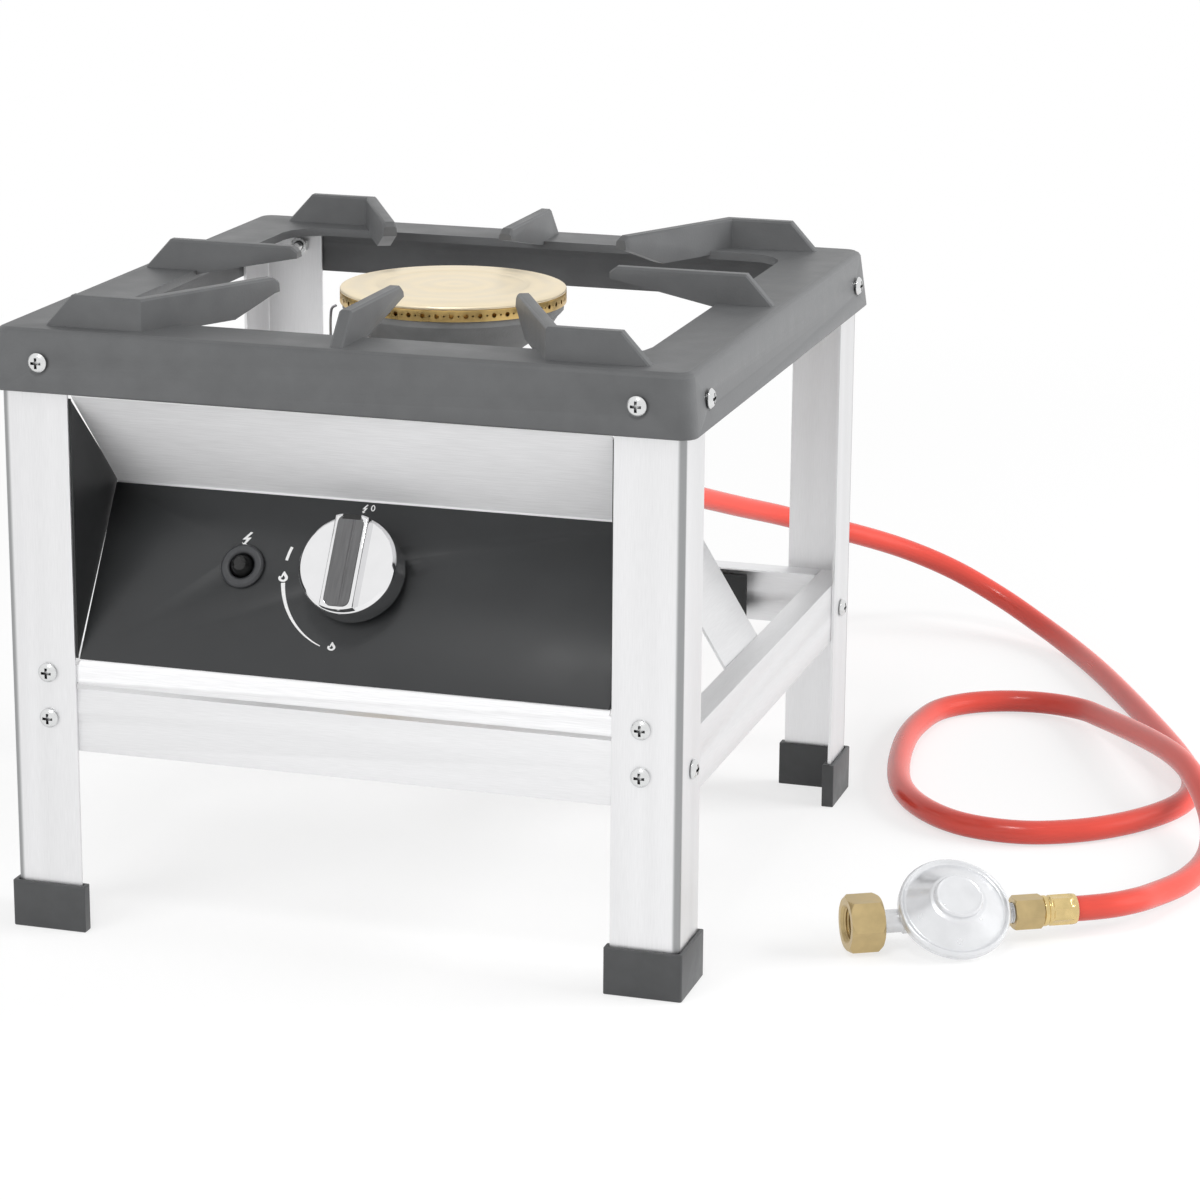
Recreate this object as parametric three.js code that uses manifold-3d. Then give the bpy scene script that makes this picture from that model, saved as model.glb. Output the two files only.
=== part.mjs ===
// Stock pot range: a square cast pot support on four folded legs, with one gas burner,
// a slanted control panel and a gas hose that ends in a cylinder regulator.
// Millimetres, +Z up, +Y towards the back. The origin lies on the floor under the burner.

import * as THREE from 'three';
import { mergeVertices } from 'three/addons/utils/BufferGeometryUtils.js';
import Module from 'manifold-3d';

const wasm = await Module();
wasm.setup();

// ---------------------------------------------------------------- driving dimensions

const clearance = 0.3;

const frameWidth = 400;
const frameDepth = 400;

const castTop = 356;
const castPlate = 5;
const castRim = 36.5;
const skirtHeight = 35.5;
const skirtOverhang = 7;
const skirtTopOverhang = 2.9;
const skirtWall = 4;
const castCornerRadius = 9;
const openingRadius = 25;

const fingerRise = 18;
const fingerThick = 8.4;
const fingerSlant = 17;
const fingerTipDepth = 8.5;
const fingerChamfer = 1.2;
const fingerDraft = 0.92;
const fingerUnderside = 2.5;
const radialFingerInset = 2.5;
const radialFingerTip = 98;
const radialFingerNose = 4;
const cornerFingerStartInset = [22.5, 14];
const cornerFingerElbowInset = [79.5, 14];
const cornerFingerTip = [75, 97];
const cornerFingerTaper = 0.66;
const cornerFingerNose = 0.96;

const legFlange = 40;
const legSheet = 2;
const legFold = 3;
const footHeight = 28;
const footWall = 2.5;
const footFloor = 3;

const railTop = 147;
const railHeight = 37.5;
const railFlange = 16;
const railSheet = 1.5;

const screwShank = 6;
const screwHead = 12.6;
const screwHeadHeight = 3.4;
const screwLength = 16;
const screwRecess = 7;
const screwRecessWidth = 1.4;
const screwRecessDepth = 1.9;
const headSeatDepth = 0.6;
const headSeatMargin = 0.8;
const topScrewInset = 25.5;
const topScrewDrop = 18.3;
const lowScrewInset = 23;
const railScrewDrop = 18.6;
const ledgeScrewRise = 6.1;

const housingSheet = 1.2;
const housingBendDrop = 38;
const housingTopFlange = 29;
const housingSideGap = 0.4;
const ledgeSideGap = 2;
const ledgeGap = 2.5;
const ledgeHeight = 14.5;
const apexDepth = 59;
const apexRise = 93;
const panelSheet = 1;
const panelBottomGap = 0.8;
const panelTopGap = 1.6;
const cheekSheet = 1.2;
const cheekFlange = 28;
const cheekBottomGap = 1;
const cheekTopGap = 1.5;
const cheekOverlap = 3;
const recessInset = 1.2;

const bridgeSheet = 2;
const bridgeWidth = 74;
const bridgeDrop = 94;
const bridgeSlope = 1.64;
const bridgeFoot = 13;

const burnerRadius = 67.5;
const burnerProud = 1;
const capThick = 3.4;
const ringHeight = 6.8;
const ringWall = 5;
const portCount = 44;
const portRadius = 1.4;
const bowlDepth = 28;
const bowlShoulder = [9, 16];
const bowlFootReach = 20;
const bowlWall = 4.5;
const neckRadius = 20;
const neckBore = 13;
const bowlRimInset = 1.5;
const bowlSeatWidth = 8;
const lipWidth = 3;
const lipDepth = 3;
const venturiRise = 25;
const venturiRadius = 17;
const venturiLength = 104;
const bellRadius = 21;
const bellLength = 12;
const bellTaper = 8;
const burnerFoot = 52;
const burnerFootThick = 5;

const shutterThick = 1.6;
const shutterLength = 14;
const shutterFront = 2;
const shutterTab = [6, 5, 7];
const airWindow = [16, 6.5];
const airWindowInset = 2.5;
const nozzleGap = 6;
const injectorRadius = 8;
const injectorBore = 2.5;
const injectorBelow = 12;
const injectorAbove = 9;
const nozzleRadius = 4.5;
const nozzleReach = 6;
const jetRadius = 1;
const pipeRadius = 4;
const pipeStraight = 14;

const knobAxis = 64;
const knobRadius = 29;
const knobHeight = 29;
const knobGripRise = 5;
const knobGripWidth = 20;
const knobGap = 5;
const insertWidth = 15;
const insertLength = 53;
const insertThick = 1;
const stemRadius = 4;
const stemLength = 40;
const stemHoleMargin = 1.5;
const stemFlat = 1;
const pressTravel = 4;
const valveSize = [34, 40, 30];
const valveDepth = 30;
const valveCollar = 9;
const valvePort = 6;
const valvePortLength = 7;
const magnetRadius = 8;
const magnetLength = 18;
const magnetDrop = 4;
const stemSocket = 8;

const igniterX = -70.5;
const igniterAxis = 64;
const igniterBezel = 13;
const igniterBezelHeight = 3;
const igniterBarrel = 9;
const igniterBarrelLength = 26;
const igniterBore = 7.4;
const buttonRadius = 6.6;
const buttonRise = 9;

const inletX = 20;
const inletRise = 35;
const inletNutLength = 15;
const fittingThread = 6;
const fittingFlats = 17;
const fittingHexLength = 15;
const fittingBore = 3;
const rearBracketEnd = 137;
const rearBracketSheet = 2;
const rearBracketMargin = 4;
const rearArmHalf = 22;
const rearArmOverlap = 10;
const rearArmAbove = 16;
const rearSpacer = [34, 4];
const rearSpacerMargin = [8, 6];

const sensorTurn = THREE.MathUtils.degToRad(236);
const sparkTurn = THREE.MathUtils.degToRad(200);
const pilotGap = 5.5;
const pilotRise = 42;
const pilotSheet = 1.5;
const pilotMargin = 7;
const pilotHalfDepth = 8;
const pilotPad = 16;
const sensorRadius = 2.6;
const sensorTip = 1.4;
const leadRadius = 1.2;
const insulatorRadius = 3.2;
const wireRadius = 0.8;

const hoseRadius = 7.5;
const ferruleRadius = 9;
const ferruleLength = 20.5;
const crimpDepth = 0.9;
const crimpEdges = [7, 8.5, 13, 14.5];
const hoseNutFlats = 18;
const hoseNutLength = 17.5;

const regulatorPlace = [326.4, -66.6, 17.5];
const regulatorTurn = THREE.MathUtils.degToRad(28.9);
const regulatorTilt = THREE.MathUtils.degToRad(38);
const regulatorRim = 33;
const regulatorDeck = 8;
const inletNeckRadius = 6.8;
const neckStop = 9;
const nippleRadius = 4;
const nippleLength = 14;
const outletNeckRadius = 6;
const outletNeckInside = 8;
const cylinderNutFlats = 30;
const cylinderNutLength = 20;
const cylinderNutBore = 10.8;
const cylinderNutPlace = -43.3;
const outletNutPlace = 36.8;

// The hose lies on one smooth curve. It leaves the inlet, sags to the floor behind the
// range, makes one loop on the right and ends in the regulator.
const hoseRoute = [
  [20, 218.1, 182], [20, 237, 182], [21, 264, 179.5], [26, 308, 169.5], [40, 385, 142.5],
  [60, 448, 120.5], [84, 500, 102], [152, 580, 65], [190, 597, 46.5], [227, 597, 28],
  [260, 580, 14.5], [289, 547, 8.4], [328, 476, 7.8], [406, 304, 7.8], [420, 256, 7.8],
  [419, 214, 7.8], [401, 175, 7.8], [369, 141, 7.8], [332, 124, 7.8], [294, 128, 7.8],
  [263, 152, 7.8], [239, 195, 7.8], [221.4, 290, 7.8], [223, 342.2, 7.8], [229.8, 368.4, 7.8],
  [247, 389.3, 7.8], [271.4, 400.9, 8], [298.5, 401.1, 8.8], [323.1, 389.9, 10.2], [339.6, 371.2, 12],
  [407, 256, 26], [429, 208, 24], [445, 160, 15], [450, 112, 9], [443.5, 60, 9.8],
  [429.5, 16.4, 13.6], [422.6, -2.4, 16.2], [411.9, -16.6, 17.2], [397.7, -27.3, 17.5], [392.4, -30.2, 17.5],
];
const hoseSides = 8;
const hoseSteps = 76;

// ---------------------------------------------------------------- materials

function finish(hex, roughness, metalness) {
  return new THREE.MeshStandardMaterial({ color: new THREE.Color(hex), roughness, metalness });
}

const enamel = finish('#6f6f6f', 0.6, 0.1);
const stainless = finish('#e4e4e4', 0.35, 1);
const darkPanel = finish('#464646', 0.45, 0.2);
const blackPlastic = finish('#3a3a3a', 0.6, 0);
const glossBlack = finish('#1c1a1b', 0.25, 0);
const castIron = finish('#8f8f93', 0.7, 0.4);
const brass = finish('#c4a66b', 0.35, 1);
const capBrass = finish('#e8d9b8', 0.4, 1);
const zincSteel = finish('#d8dadc', 0.3, 1);
const chrome = finish('#f0f0f0', 0.12, 1);
const greyInsert = finish('#606060', 0.4, 0.3);
const blackSteel = finish('#343434', 0.5, 0.4);
const copper = finish('#b87848', 0.35, 1);
const ceramic = finish('#f2efe8', 0.3, 0);
const hoseRubber = finish('#f0503c', 0.3, 0);

// ---------------------------------------------------------------- solid helpers

function solid(geometry) {
  const plain = geometry.clone();
  plain.deleteAttribute('normal');
  plain.deleteAttribute('uv');
  const merged = mergeVertices(plain, 1e-4);
  const mesh = new wasm.Mesh({
    numProp: 3,
    vertProperties: new Float32Array(merged.attributes.position.array),
    triVerts: new Uint32Array(merged.index.array),
  });
  mesh.merge();
  return new wasm.Manifold(mesh);
}

function geometryOf(manifold) {
  const mesh = manifold.getMesh();
  const geometry = new THREE.BufferGeometry();
  geometry.setAttribute('position', new THREE.BufferAttribute(mesh.vertProperties, 3));
  geometry.setIndex(new THREE.BufferAttribute(mesh.triVerts, 1));
  geometry.computeVertexNormals();
  return geometry;
}

function joined(first, ...others) {
  return geometryOf(others.reduce((sum, piece) => sum.add(solid(piece)), solid(first)));
}

function cut(body, ...tools) {
  return geometryOf(tools.reduce((rest, tool) => rest.subtract(solid(tool)), solid(body)));
}

function box(x0, x1, y0, y1, z0, z1) {
  const geometry = new THREE.BoxGeometry(x1 - x0, y1 - y0, z1 - z0);
  return geometry.translate((x0 + x1) / 2, (y0 + y1) / 2, (z0 + z1) / 2);
}

// A turned piece about +Z from a closed profile of [radius, height] points.
function turned(profile, sides) {
  const points = profile.map(([radius, height]) => new THREE.Vector2(radius, height));
  return facingOut(new THREE.LatheGeometry(points, sides).rotateX(Math.PI / 2));
}

function disc(radius, z0, z1, sides) {
  return turned([[0, z0], [radius, z0], [radius, z1], [0, z1]], sides);
}

function tubeProfile(outer, inner, z0, z1, sides) {
  return turned([[inner, z0], [outer, z0], [outer, z1], [inner, z1], [inner, z0]], sides);
}

// A prism of a flat outline of [a, b] points that runs along +Z.
function prism(outline, length) {
  const shape = new THREE.Shape(outline.map(([a, b]) => new THREE.Vector2(a, b)));
  return new THREE.ExtrudeGeometry(shape, { depth: length, bevelEnabled: false });
}

// The same prism with its outline in the YZ plane, running along X from x0 to x1.
function prismAlongX(outline, x0, x1) {
  const standing = prism(outline, x1 - x0);
  const turn = new THREE.Matrix4().set(0, 0, 1, x0, 1, 0, 0, 0, 0, 1, 0, 0, 0, 0, 0, 1);
  return standing.applyMatrix4(turn);
}

// The same prism with its outline in the XZ plane, running along Y from y0 to y1.
function prismAlongY(outline, y0, y1) {
  const standing = prism(outline, y1 - y0);
  const turn = new THREE.Matrix4().set(1, 0, 0, 0, 0, 0, -1, y1, 0, 1, 0, 0, 0, 0, 0, 1);
  return standing.applyMatrix4(turn);
}

function laidAlong(axis, geometry) {
  if (axis === 'x') return geometry.rotateY(Math.PI / 2);
  if (axis === 'y') return geometry.rotateX(-Math.PI / 2);
  return geometry;
}

function hexagon(flats, z0, z1, bore = 0) {
  const radius = flats / Math.sqrt(3);
  const corners = [];
  for (let side = 0; side < 6; side += 1) {
    const angle = (side * Math.PI) / 3 + Math.PI / 6;
    corners.push([radius * Math.cos(angle), radius * Math.sin(angle)]);
  }
  const body = prism(corners, z1 - z0).translate(0, 0, z0);
  return bore > 0 ? cut(body, disc(bore, z0 - 1, z1 + 1, 24)) : body;
}

function roundedSquare(halfX, halfY, radius, steps = 4) {
  const points = [];
  const centres = [[1, 1], [-1, 1], [-1, -1], [1, -1]];
  centres.forEach(([signX, signY], corner) => {
    for (let step = 0; step <= steps; step += 1) {
      const angle = (corner + step / steps) * (Math.PI / 2);
      const x = signX * (halfX - radius) + radius * Math.cos(angle);
      const y = signY * (halfY - radius) + radius * Math.sin(angle);
      points.push([x, y]);
    }
  });
  return points;
}

// A closed skin through rings of equally many points; the ends are closed flat.
function loft(rings) {
  const count = rings[0].length;
  const positions = rings.flat(2);
  const index = [];
  for (let ring = 0; ring < rings.length - 1; ring += 1) {
    for (let point = 0; point < count; point += 1) {
      const next = (point + 1) % count;
      const low = ring * count;
      const high = low + count;
      index.push(low + point, low + next, high + next);
      index.push(low + point, high + next, high + point);
    }
  }
  const last = (rings.length - 1) * count;
  for (let point = 1; point < count - 1; point += 1) {
    index.push(0, point + 1, point);
    index.push(last, last + point, last + point + 1);
  }
  const geometry = new THREE.BufferGeometry();
  geometry.setAttribute('position', new THREE.Float32BufferAttribute(positions, 3));
  geometry.setIndex(index);
  return facingOut(geometry);
}

function facingOut(geometry) {
  const position = geometry.attributes.position;
  const index = geometry.index.array;
  const a = new THREE.Vector3();
  const b = new THREE.Vector3();
  const c = new THREE.Vector3();
  let volume = 0;
  for (let i = 0; i < index.length; i += 3) {
    a.fromBufferAttribute(position, index[i]);
    b.fromBufferAttribute(position, index[i + 1]);
    c.fromBufferAttribute(position, index[i + 2]);
    volume += a.dot(b.cross(c));
  }
  if (volume < 0) {
    for (let i = 0; i < index.length; i += 3) {
      [index[i + 1], index[i + 2]] = [index[i + 2], index[i + 1]];
    }
  }
  return geometry;
}

// A round bar that follows a smooth curve through the points.
function bar(points, radius, sides, steps) {
  const path = new THREE.CatmullRomCurve3(points.map((p) => new THREE.Vector3(...p)));
  const section = new THREE.Shape();
  for (let side = 0; side < sides; side += 1) {
    const angle = (side * 2 * Math.PI) / sides;
    const x = radius * Math.cos(angle);
    const y = radius * Math.sin(angle);
    if (side === 0) section.moveTo(x, y);
    else section.lineTo(x, y);
  }
  return new THREE.ExtrudeGeometry(section, { steps, extrudePath: path });
}

// A folded sheet: the outer line is given, and the sheet's thickness lies on its left.
function foldedOutline(line, thickness) {
  const inner = line.map((point, i) => {
    const before = line[Math.max(i - 1, 0)];
    const after = line[Math.min(i + 1, line.length - 1)];
    const from = i === 0 ? after : point;
    const a = i === 0 ? unit(point, from) : unit(before, point);
    const b = i === line.length - 1 ? a : unit(point, after);
    const normal = [-(a[1] + b[1]), a[0] + b[0]];
    const size = Math.hypot(...normal);
    const spread = (normal[0] * -a[1] + normal[1] * a[0]) / size;
    const reach = thickness / spread;
    return [point[0] + (normal[0] / size) * reach, point[1] + (normal[1] / size) * reach];
  });
  return [...line, ...inner.reverse()];
}

function unit(from, to) {
  const size = Math.hypot(to[0] - from[0], to[1] - from[1]);
  return [(to[0] - from[0]) / size, (to[1] - from[1]) / size];
}

// ---------------------------------------------------------------- scene helpers

const range = new THREE.Group();

function add(parent, name, geometry, material) {
  const mesh = new THREE.Mesh(geometry, material);
  mesh.name = name;
  parent.add(mesh);
  return mesh;
}

const halfWidth = frameWidth / 2;
const halfDepth = frameDepth / 2;
const openingWidth = frameWidth - 2 * castRim;
const openingDepth = frameDepth - 2 * castRim;
const castUnderside = castTop - castPlate;
const fingerTop = castTop + fingerRise;
const skirtBottom = castTop - skirtHeight;
const topScrewHeight = castTop - topScrewDrop;
const railScrewHeight = railTop - railScrewDrop;
const ledgeBottom = railTop + ledgeGap;
const ledgeScrewHeight = ledgeBottom + ledgeScrewRise;
const panelBottom = ledgeBottom + ledgeHeight;
const apexHeight = panelBottom + apexRise;
const housingTopBend = castTop - housingBendDrop;
const recessHalf = halfWidth - legFlange - recessInset;
const bridgeTop = castTop - bridgeDrop;
const venturiHeight = bridgeTop + venturiRise;
const burnerTop = castTop + burnerProud;
const inletHeight = railTop + inletRise;
const pilotReach = burnerRadius + pilotGap;

// ---------------------------------------------------------------- screw places

// Each screw: name, the outward direction, where its head seats, and its height.
const skirtSlope = (skirtOverhang - skirtTopOverhang) / skirtHeight;
const topScrewSeat = skirtOverhang - skirtSlope * (topScrewHeight - skirtBottom) + headSeatDepth;

function screwPlaces() {
  const places = [];
  for (const [end, signY] of [['front', -1], ['back', 1]]) {
    for (const [side, signX] of [['left', -1], ['right', 1]]) {
      const corner = `${end}_${side}`;
      const topX = signX * (halfWidth - topScrewInset);
      const topY = signY * (halfDepth - topScrewInset);
      const lowX = signX * (halfWidth - lowScrewInset);
      const lowY = signY * (halfDepth - lowScrewInset);
      const faceX = signX * halfWidth;
      const faceY = signY * halfDepth;
      places.push({ name: `screw_top_${corner}_face`, axis: 'y', sign: signY, seat: topScrewSeat,
        at: [topX, faceY, topScrewHeight] });
      places.push({ name: `screw_top_${corner}_side`, axis: 'x', sign: signX, seat: topScrewSeat,
        at: [faceX, topY, topScrewHeight] });
      places.push({ name: `screw_rail_${corner}_face`, axis: 'y', sign: signY, seat: 0,
        at: [lowX, faceY, railScrewHeight] });
      places.push({ name: `screw_rail_${corner}_side`, axis: 'x', sign: signX, seat: 0,
        at: [faceX, lowY, railScrewHeight] });
      if (end === 'front') {
        places.push({ name: `screw_ledge_${side}`, axis: 'y', sign: signY, seat: 0,
          at: [lowX, faceY, ledgeScrewHeight] });
      }
    }
  }
  return places;
}

const screws = screwPlaces();

// A round cutter through the frame at a screw.
function screwHole(screw) {
  const radius = screwShank / 2 + clearance;
  const cutter = disc(radius, -20, 20, 12);
  return laidAlong(screw.axis, cutter).translate(...screw.at);
}

function holesNear(axis, sign, test = () => true) {
  return screws.filter((s) => s.axis === axis && s.sign === sign && test(s)).map(screwHole);
}

// ---------------------------------------------------------------- cast pot support

function ribbon(stations) {
  const half = fingerThick / 2;
  const topHalf = half * fingerDraft;
  const rings = stations.map(({ at, across, bottom, top }) => {
    const bevel = Math.min(fingerChamfer, (top - bottom) / 3);
    const profile = [[-half, bottom], [half, bottom], [topHalf, top - bevel],
      [topHalf - bevel, top], [bevel - topHalf, top], [-topHalf, top - bevel]];
    return profile.map(([side, z]) => [at[0] + across[0] * side, at[1] + across[1] * side, z]);
  });
  return loft(rings);
}

const fingerRoot = castUnderside + 1;
const fingerLow = castUnderside + fingerUnderside;

// A finger that points at the burner from a side of the frame at the given half width.
function radialFinger(turn, half) {
  const outer = half - radialFingerInset;
  const slantEnd = outer - fingerSlant;
  const openingEdge = half - castRim;
  const tipLow = fingerTop - fingerTipDepth + 1.5;
  const across = [0, 1];
  const stations = [
    { at: [outer, 0], across, bottom: fingerRoot, top: castTop - 0.5 },
    { at: [slantEnd, 0], across, bottom: fingerRoot, top: fingerTop },
    { at: [openingEdge, 0], across, bottom: fingerLow, top: fingerTop },
    { at: [radialFingerTip + radialFingerNose, 0], across, bottom: tipLow - 0.7, top: fingerTop },
    { at: [radialFingerTip, 0], across, bottom: tipLow, top: fingerTop - 3 },
  ];
  return ribbon(stations).rotateZ(turn);
}

function cornerFinger(signX, signY) {
  const start = [halfWidth - cornerFingerStartInset[0], halfDepth - cornerFingerStartInset[1]];
  const elbow = [halfWidth - cornerFingerElbowInset[0], halfDepth - cornerFingerElbowInset[1]];
  const tip = cornerFingerTip;
  const first = unit(start, elbow);
  const second = unit(elbow, tip);
  const middle = [-(first[1] + second[1]), first[0] + second[0]];
  const size = Math.hypot(...middle);
  const stretch = size / ((middle[0] * -first[1] + middle[1] * first[0]));
  const mitre = [(middle[0] / size) * stretch, (middle[1] / size) * stretch];
  const acrossFirst = [-first[1], first[0]];
  const acrossSecond = [-second[1], second[0]];
  const along = (share) => elbow.map((from, i) => from + (tip[i] - from) * share);
  const slantEnd = [start[0] + first[0] * fingerSlant, start[1] + first[1] * fingerSlant];
  const tipLow = fingerTop - fingerTipDepth;
  const stations = [
    { at: start, across: acrossFirst, bottom: fingerRoot, top: castTop - 0.5 },
    { at: slantEnd, across: acrossFirst, bottom: fingerRoot, top: fingerTop },
    { at: elbow, across: mitre, bottom: fingerLow, top: fingerTop },
    { at: along(cornerFingerTaper), across: acrossSecond, bottom: fingerLow, top: fingerTop },
    { at: along(cornerFingerNose), across: acrossSecond, bottom: tipLow - 0.6, top: fingerTop },
    { at: along(1), across: acrossSecond, bottom: tipLow, top: fingerTop - 2.5 },
  ];
  const placed = stations.map((station) => ({
    ...station,
    at: [station.at[0] * signX, station.at[1] * signY],
    across: [station.across[0] * signX, station.across[1] * signY],
  }));
  return ribbon(placed);
}

function castRing(overhang, z, radius) {
  const outline = roundedSquare(halfWidth + overhang, halfDepth + overhang, radius);
  return outline.map(([x, y]) => [x, y, z]);
}

function castOuter() {
  const slopeAt = (z) => skirtOverhang - skirtSlope * (z - skirtBottom);
  return loft([
    castRing(slopeAt(skirtBottom) - 1, skirtBottom, castCornerRadius),
    castRing(slopeAt(skirtBottom), skirtBottom + 1, castCornerRadius),
    castRing(slopeAt(castTop - 3), castTop - 3, castCornerRadius),
    castRing(slopeAt(castTop) - 0.8, castTop - 1, castCornerRadius),
    castRing(slopeAt(castTop) - 3, castTop, castCornerRadius - 2),
  ]);
}

function castCavity() {
  const low = skirtOverhang - skirtWall;
  const high = skirtTopOverhang - skirtWall;
  return loft([
    castRing(low, skirtBottom - 1, castCornerRadius - 3),
    castRing(high, castUnderside, castCornerRadius - 3),
  ]);
}

function legPocket(signX, signY) {
  const reach = legFlange + 3;
  const outerX = signX * (halfWidth + clearance);
  const outerY = signY * (halfDepth + clearance);
  const innerX = signX * (halfWidth - reach);
  const innerY = signY * (halfDepth - reach);
  const [x0, x1] = [outerX, innerX].sort((a, b) => a - b);
  const [y0, y1] = [outerY, innerY].sort((a, b) => a - b);
  return box(x0, x1, y0, y1, skirtBottom - 1, castUnderside);
}

function grateCasting() {
  const opening = prism(roundedSquare(openingWidth / 2, openingDepth / 2, openingRadius), 40)
    .translate(0, 0, castUnderside - 20);
  let body = solid(castOuter()).subtract(solid(castCavity())).subtract(solid(opening));
  for (const signX of [-1, 1]) {
    for (const signY of [-1, 1]) {
      body = body.subtract(solid(legPocket(signX, signY)));
      body = body.add(solid(cornerFinger(signX, signY)));
    }
  }
  for (let quarter = 0; quarter < 4; quarter += 1) {
    const half = quarter % 2 === 0 ? halfWidth : halfDepth;
    body = body.add(solid(radialFinger((quarter * Math.PI) / 2, half)));
  }
  for (const screw of screws.filter((s) => s.seat > 0)) {
    body = body.subtract(solid(screwHole(screw)));
    body = body.subtract(solid(headSeat(screw)));
  }
  return geometryOf(body);
}

// A flat spot in the slanted skirt for the screw's head.
function headSeat(screw) {
  const spot = disc(screwHead / 2 + headSeatMargin, screw.seat, screw.seat + 10, 20);
  if (screw.sign < 0) spot.rotateX(Math.PI);
  return laidAlong(screw.axis, spot).translate(...screw.at);
}

add(range, 'grate_casting', grateCasting(), enamel);

// ---------------------------------------------------------------- legs and feet

function legOutline(signX, signY, grow = 0) {
  const x = (value) => signX * value;
  const y = (value) => signY * value;
  const outerX = halfWidth + grow;
  const outerY = halfDepth + grow;
  const fold = grow > 0 ? 1.5 : legFold;
  const endX = halfWidth - legFlange - grow;
  const endY = halfDepth - legFlange - grow;
  const innerX = halfWidth - legSheet - grow;
  const innerY = halfDepth - legSheet - grow;
  const outline = [[x(endX), y(outerY)]];
  for (let step = 0; step <= 4; step += 1) {
    const angle = (1 - step / 4) * (Math.PI / 2);
    outline.push([x(outerX - fold + fold * Math.cos(angle)), y(outerY - fold + fold * Math.sin(angle))]);
  }
  outline.push([x(outerX), y(endY)], [x(innerX), y(endY)], [x(innerX), y(innerY)], [x(endX), y(innerY)]);
  return signX * signY > 0 ? outline.reverse() : outline;
}

function leg(signX, signY) {
  const body = prism(legOutline(signX, signY), castUnderside - footFloor).translate(0, 0, footFloor);
  const nearX = (s) => Math.sign(s.at[0]) === signX && Math.sign(s.at[1]) === signY;
  return cut(body, ...screws.filter(nearX).map(screwHole));
}

function foot(signX, signY) {
  const shell = prism(legOutline(signX, signY, footWall + clearance), footHeight);
  const socket = prism(legOutline(signX, signY, clearance), footHeight).translate(0, 0, footFloor);
  return cut(shell, socket);
}

for (const [end, signY] of [['front', -1], ['back', 1]]) {
  for (const [side, signX] of [['left', -1], ['right', 1]]) {
    add(range, `leg_${end}_${side}`, leg(signX, signY), stainless);
    add(range, `foot_${end}_${side}`, foot(signX, signY), blackPlastic);
  }
}

// ---------------------------------------------------------------- rails

const railFace = legSheet;
const railBottom = railTop - railHeight;

// An angle rail: its web stands behind the legs and its top flange turns inwards.
function rail(length, flangeLength, half) {
  const face = half - railFace;
  const web = box(-length / 2, length / 2, face - railSheet, face, railBottom, railTop);
  const flange = box(-flangeLength / 2, flangeLength / 2, face - railFlange, face,
    railTop - railSheet, railTop);
  return joined(web, flange);
}

const crossWeb = frameWidth - 2 * (railFace + railSheet) - 2 * clearance;
const crossFlange = frameWidth - 2 * (railFace + railFlange) - 2 * clearance;
const sideWeb = frameDepth - 2 * railFace;
const sideFlange = sideWeb - 2 * railSheet - 2 * clearance;

const railFront = rail(crossWeb, crossFlange, halfDepth).rotateZ(Math.PI);
const railBack = rail(crossWeb, crossFlange, halfDepth);
const railLeft = rail(sideWeb, sideFlange, halfWidth).rotateZ(Math.PI / 2);
const railRight = rail(sideWeb, sideFlange, halfWidth).rotateZ(-Math.PI / 2);
add(range, 'rail_front', cut(railFront, ...holesNear('y', -1)), stainless);
add(range, 'rail_back', cut(railBack, ...holesNear('y', 1)), stainless);
add(range, 'rail_left', cut(railLeft, ...holesNear('x', -1)), stainless);
add(range, 'rail_right', cut(railRight, ...holesNear('x', 1)), stainless);

// ---------------------------------------------------------------- control recess

const frontInner = -halfDepth + legSheet;
const apexY = frontInner + apexDepth;
const panelRise = apexHeight - panelBottom;
const panelLength = Math.hypot(apexDepth, panelRise);
const panelUp = [apexDepth / panelLength, panelRise / panelLength];
const panelOut = [-panelUp[1], panelUp[0]];

// A point at a distance up the panel and a height above it, as [y, z].
function onPanel(up, out) {
  return [frontInner + panelUp[0] * up + panelOut[0] * out,
    panelBottom + panelUp[1] * up + panelOut[1] * out];
}

function atPanel(x, up, out) {
  return [x, ...onPanel(up, out)];
}

const sheetBehindPanel = panelSheet + clearance;
const panelGroup = new THREE.Group();
panelGroup.position.set(0, frontInner, panelBottom);
panelGroup.rotation.x = Math.atan2(panelRise, apexDepth);
range.add(panelGroup);

function controlHousing() {
  const carrierApex = onPanel(panelLength, -sheetBehindPanel);
  const meetUp = (sheetBehindPanel * panelUp[1]) / panelUp[0];
  const carrierFoot = onPanel(-meetUp, -sheetBehindPanel);
  const line = [[frontInner, ledgeBottom], carrierFoot, carrierApex, [frontInner, housingTopBend],
    [frontInner, housingTopBend + housingTopFlange]];
  const outline = foldedOutline([...line].reverse(), housingSheet);
  const half = recessHalf - housingSideGap;
  const middle = prismAlongX(outline, -half, half);
  const wide = halfWidth - legSheet - ledgeSideGap;
  const ledge = box(-wide, wide, frontInner, frontInner + housingSheet, ledgeBottom, carrierFoot[1] - 0.6);
  const top = box(-wide, wide, frontInner, frontInner + housingSheet, housingTopBend + 1,
    housingTopBend + housingTopFlange);
  const openings = [screwHolesFor('screw_ledge'), screwHolesFor('screw_top_front')].flat();
  const knobHole = disc(stemRadius + stemHoleMargin, -30, 30, 16).translate(0, knobAxis, 0);
  const igniterHole = disc(igniterBarrel + clearance, -30, 30, 20).translate(igniterX, igniterAxis, 0);
  const body = joined(middle, ledge, top);
  return cut(body, ...openings, toWorld(knobHole), toWorld(igniterHole));
}

function screwHolesFor(prefix) {
  return screws.filter((s) => s.name.startsWith(prefix) && s.axis === 'y').map(screwHole);
}

function toWorld(geometry) {
  panelGroup.updateMatrix();
  return geometry.clone().applyMatrix4(panelGroup.matrix);
}

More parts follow.
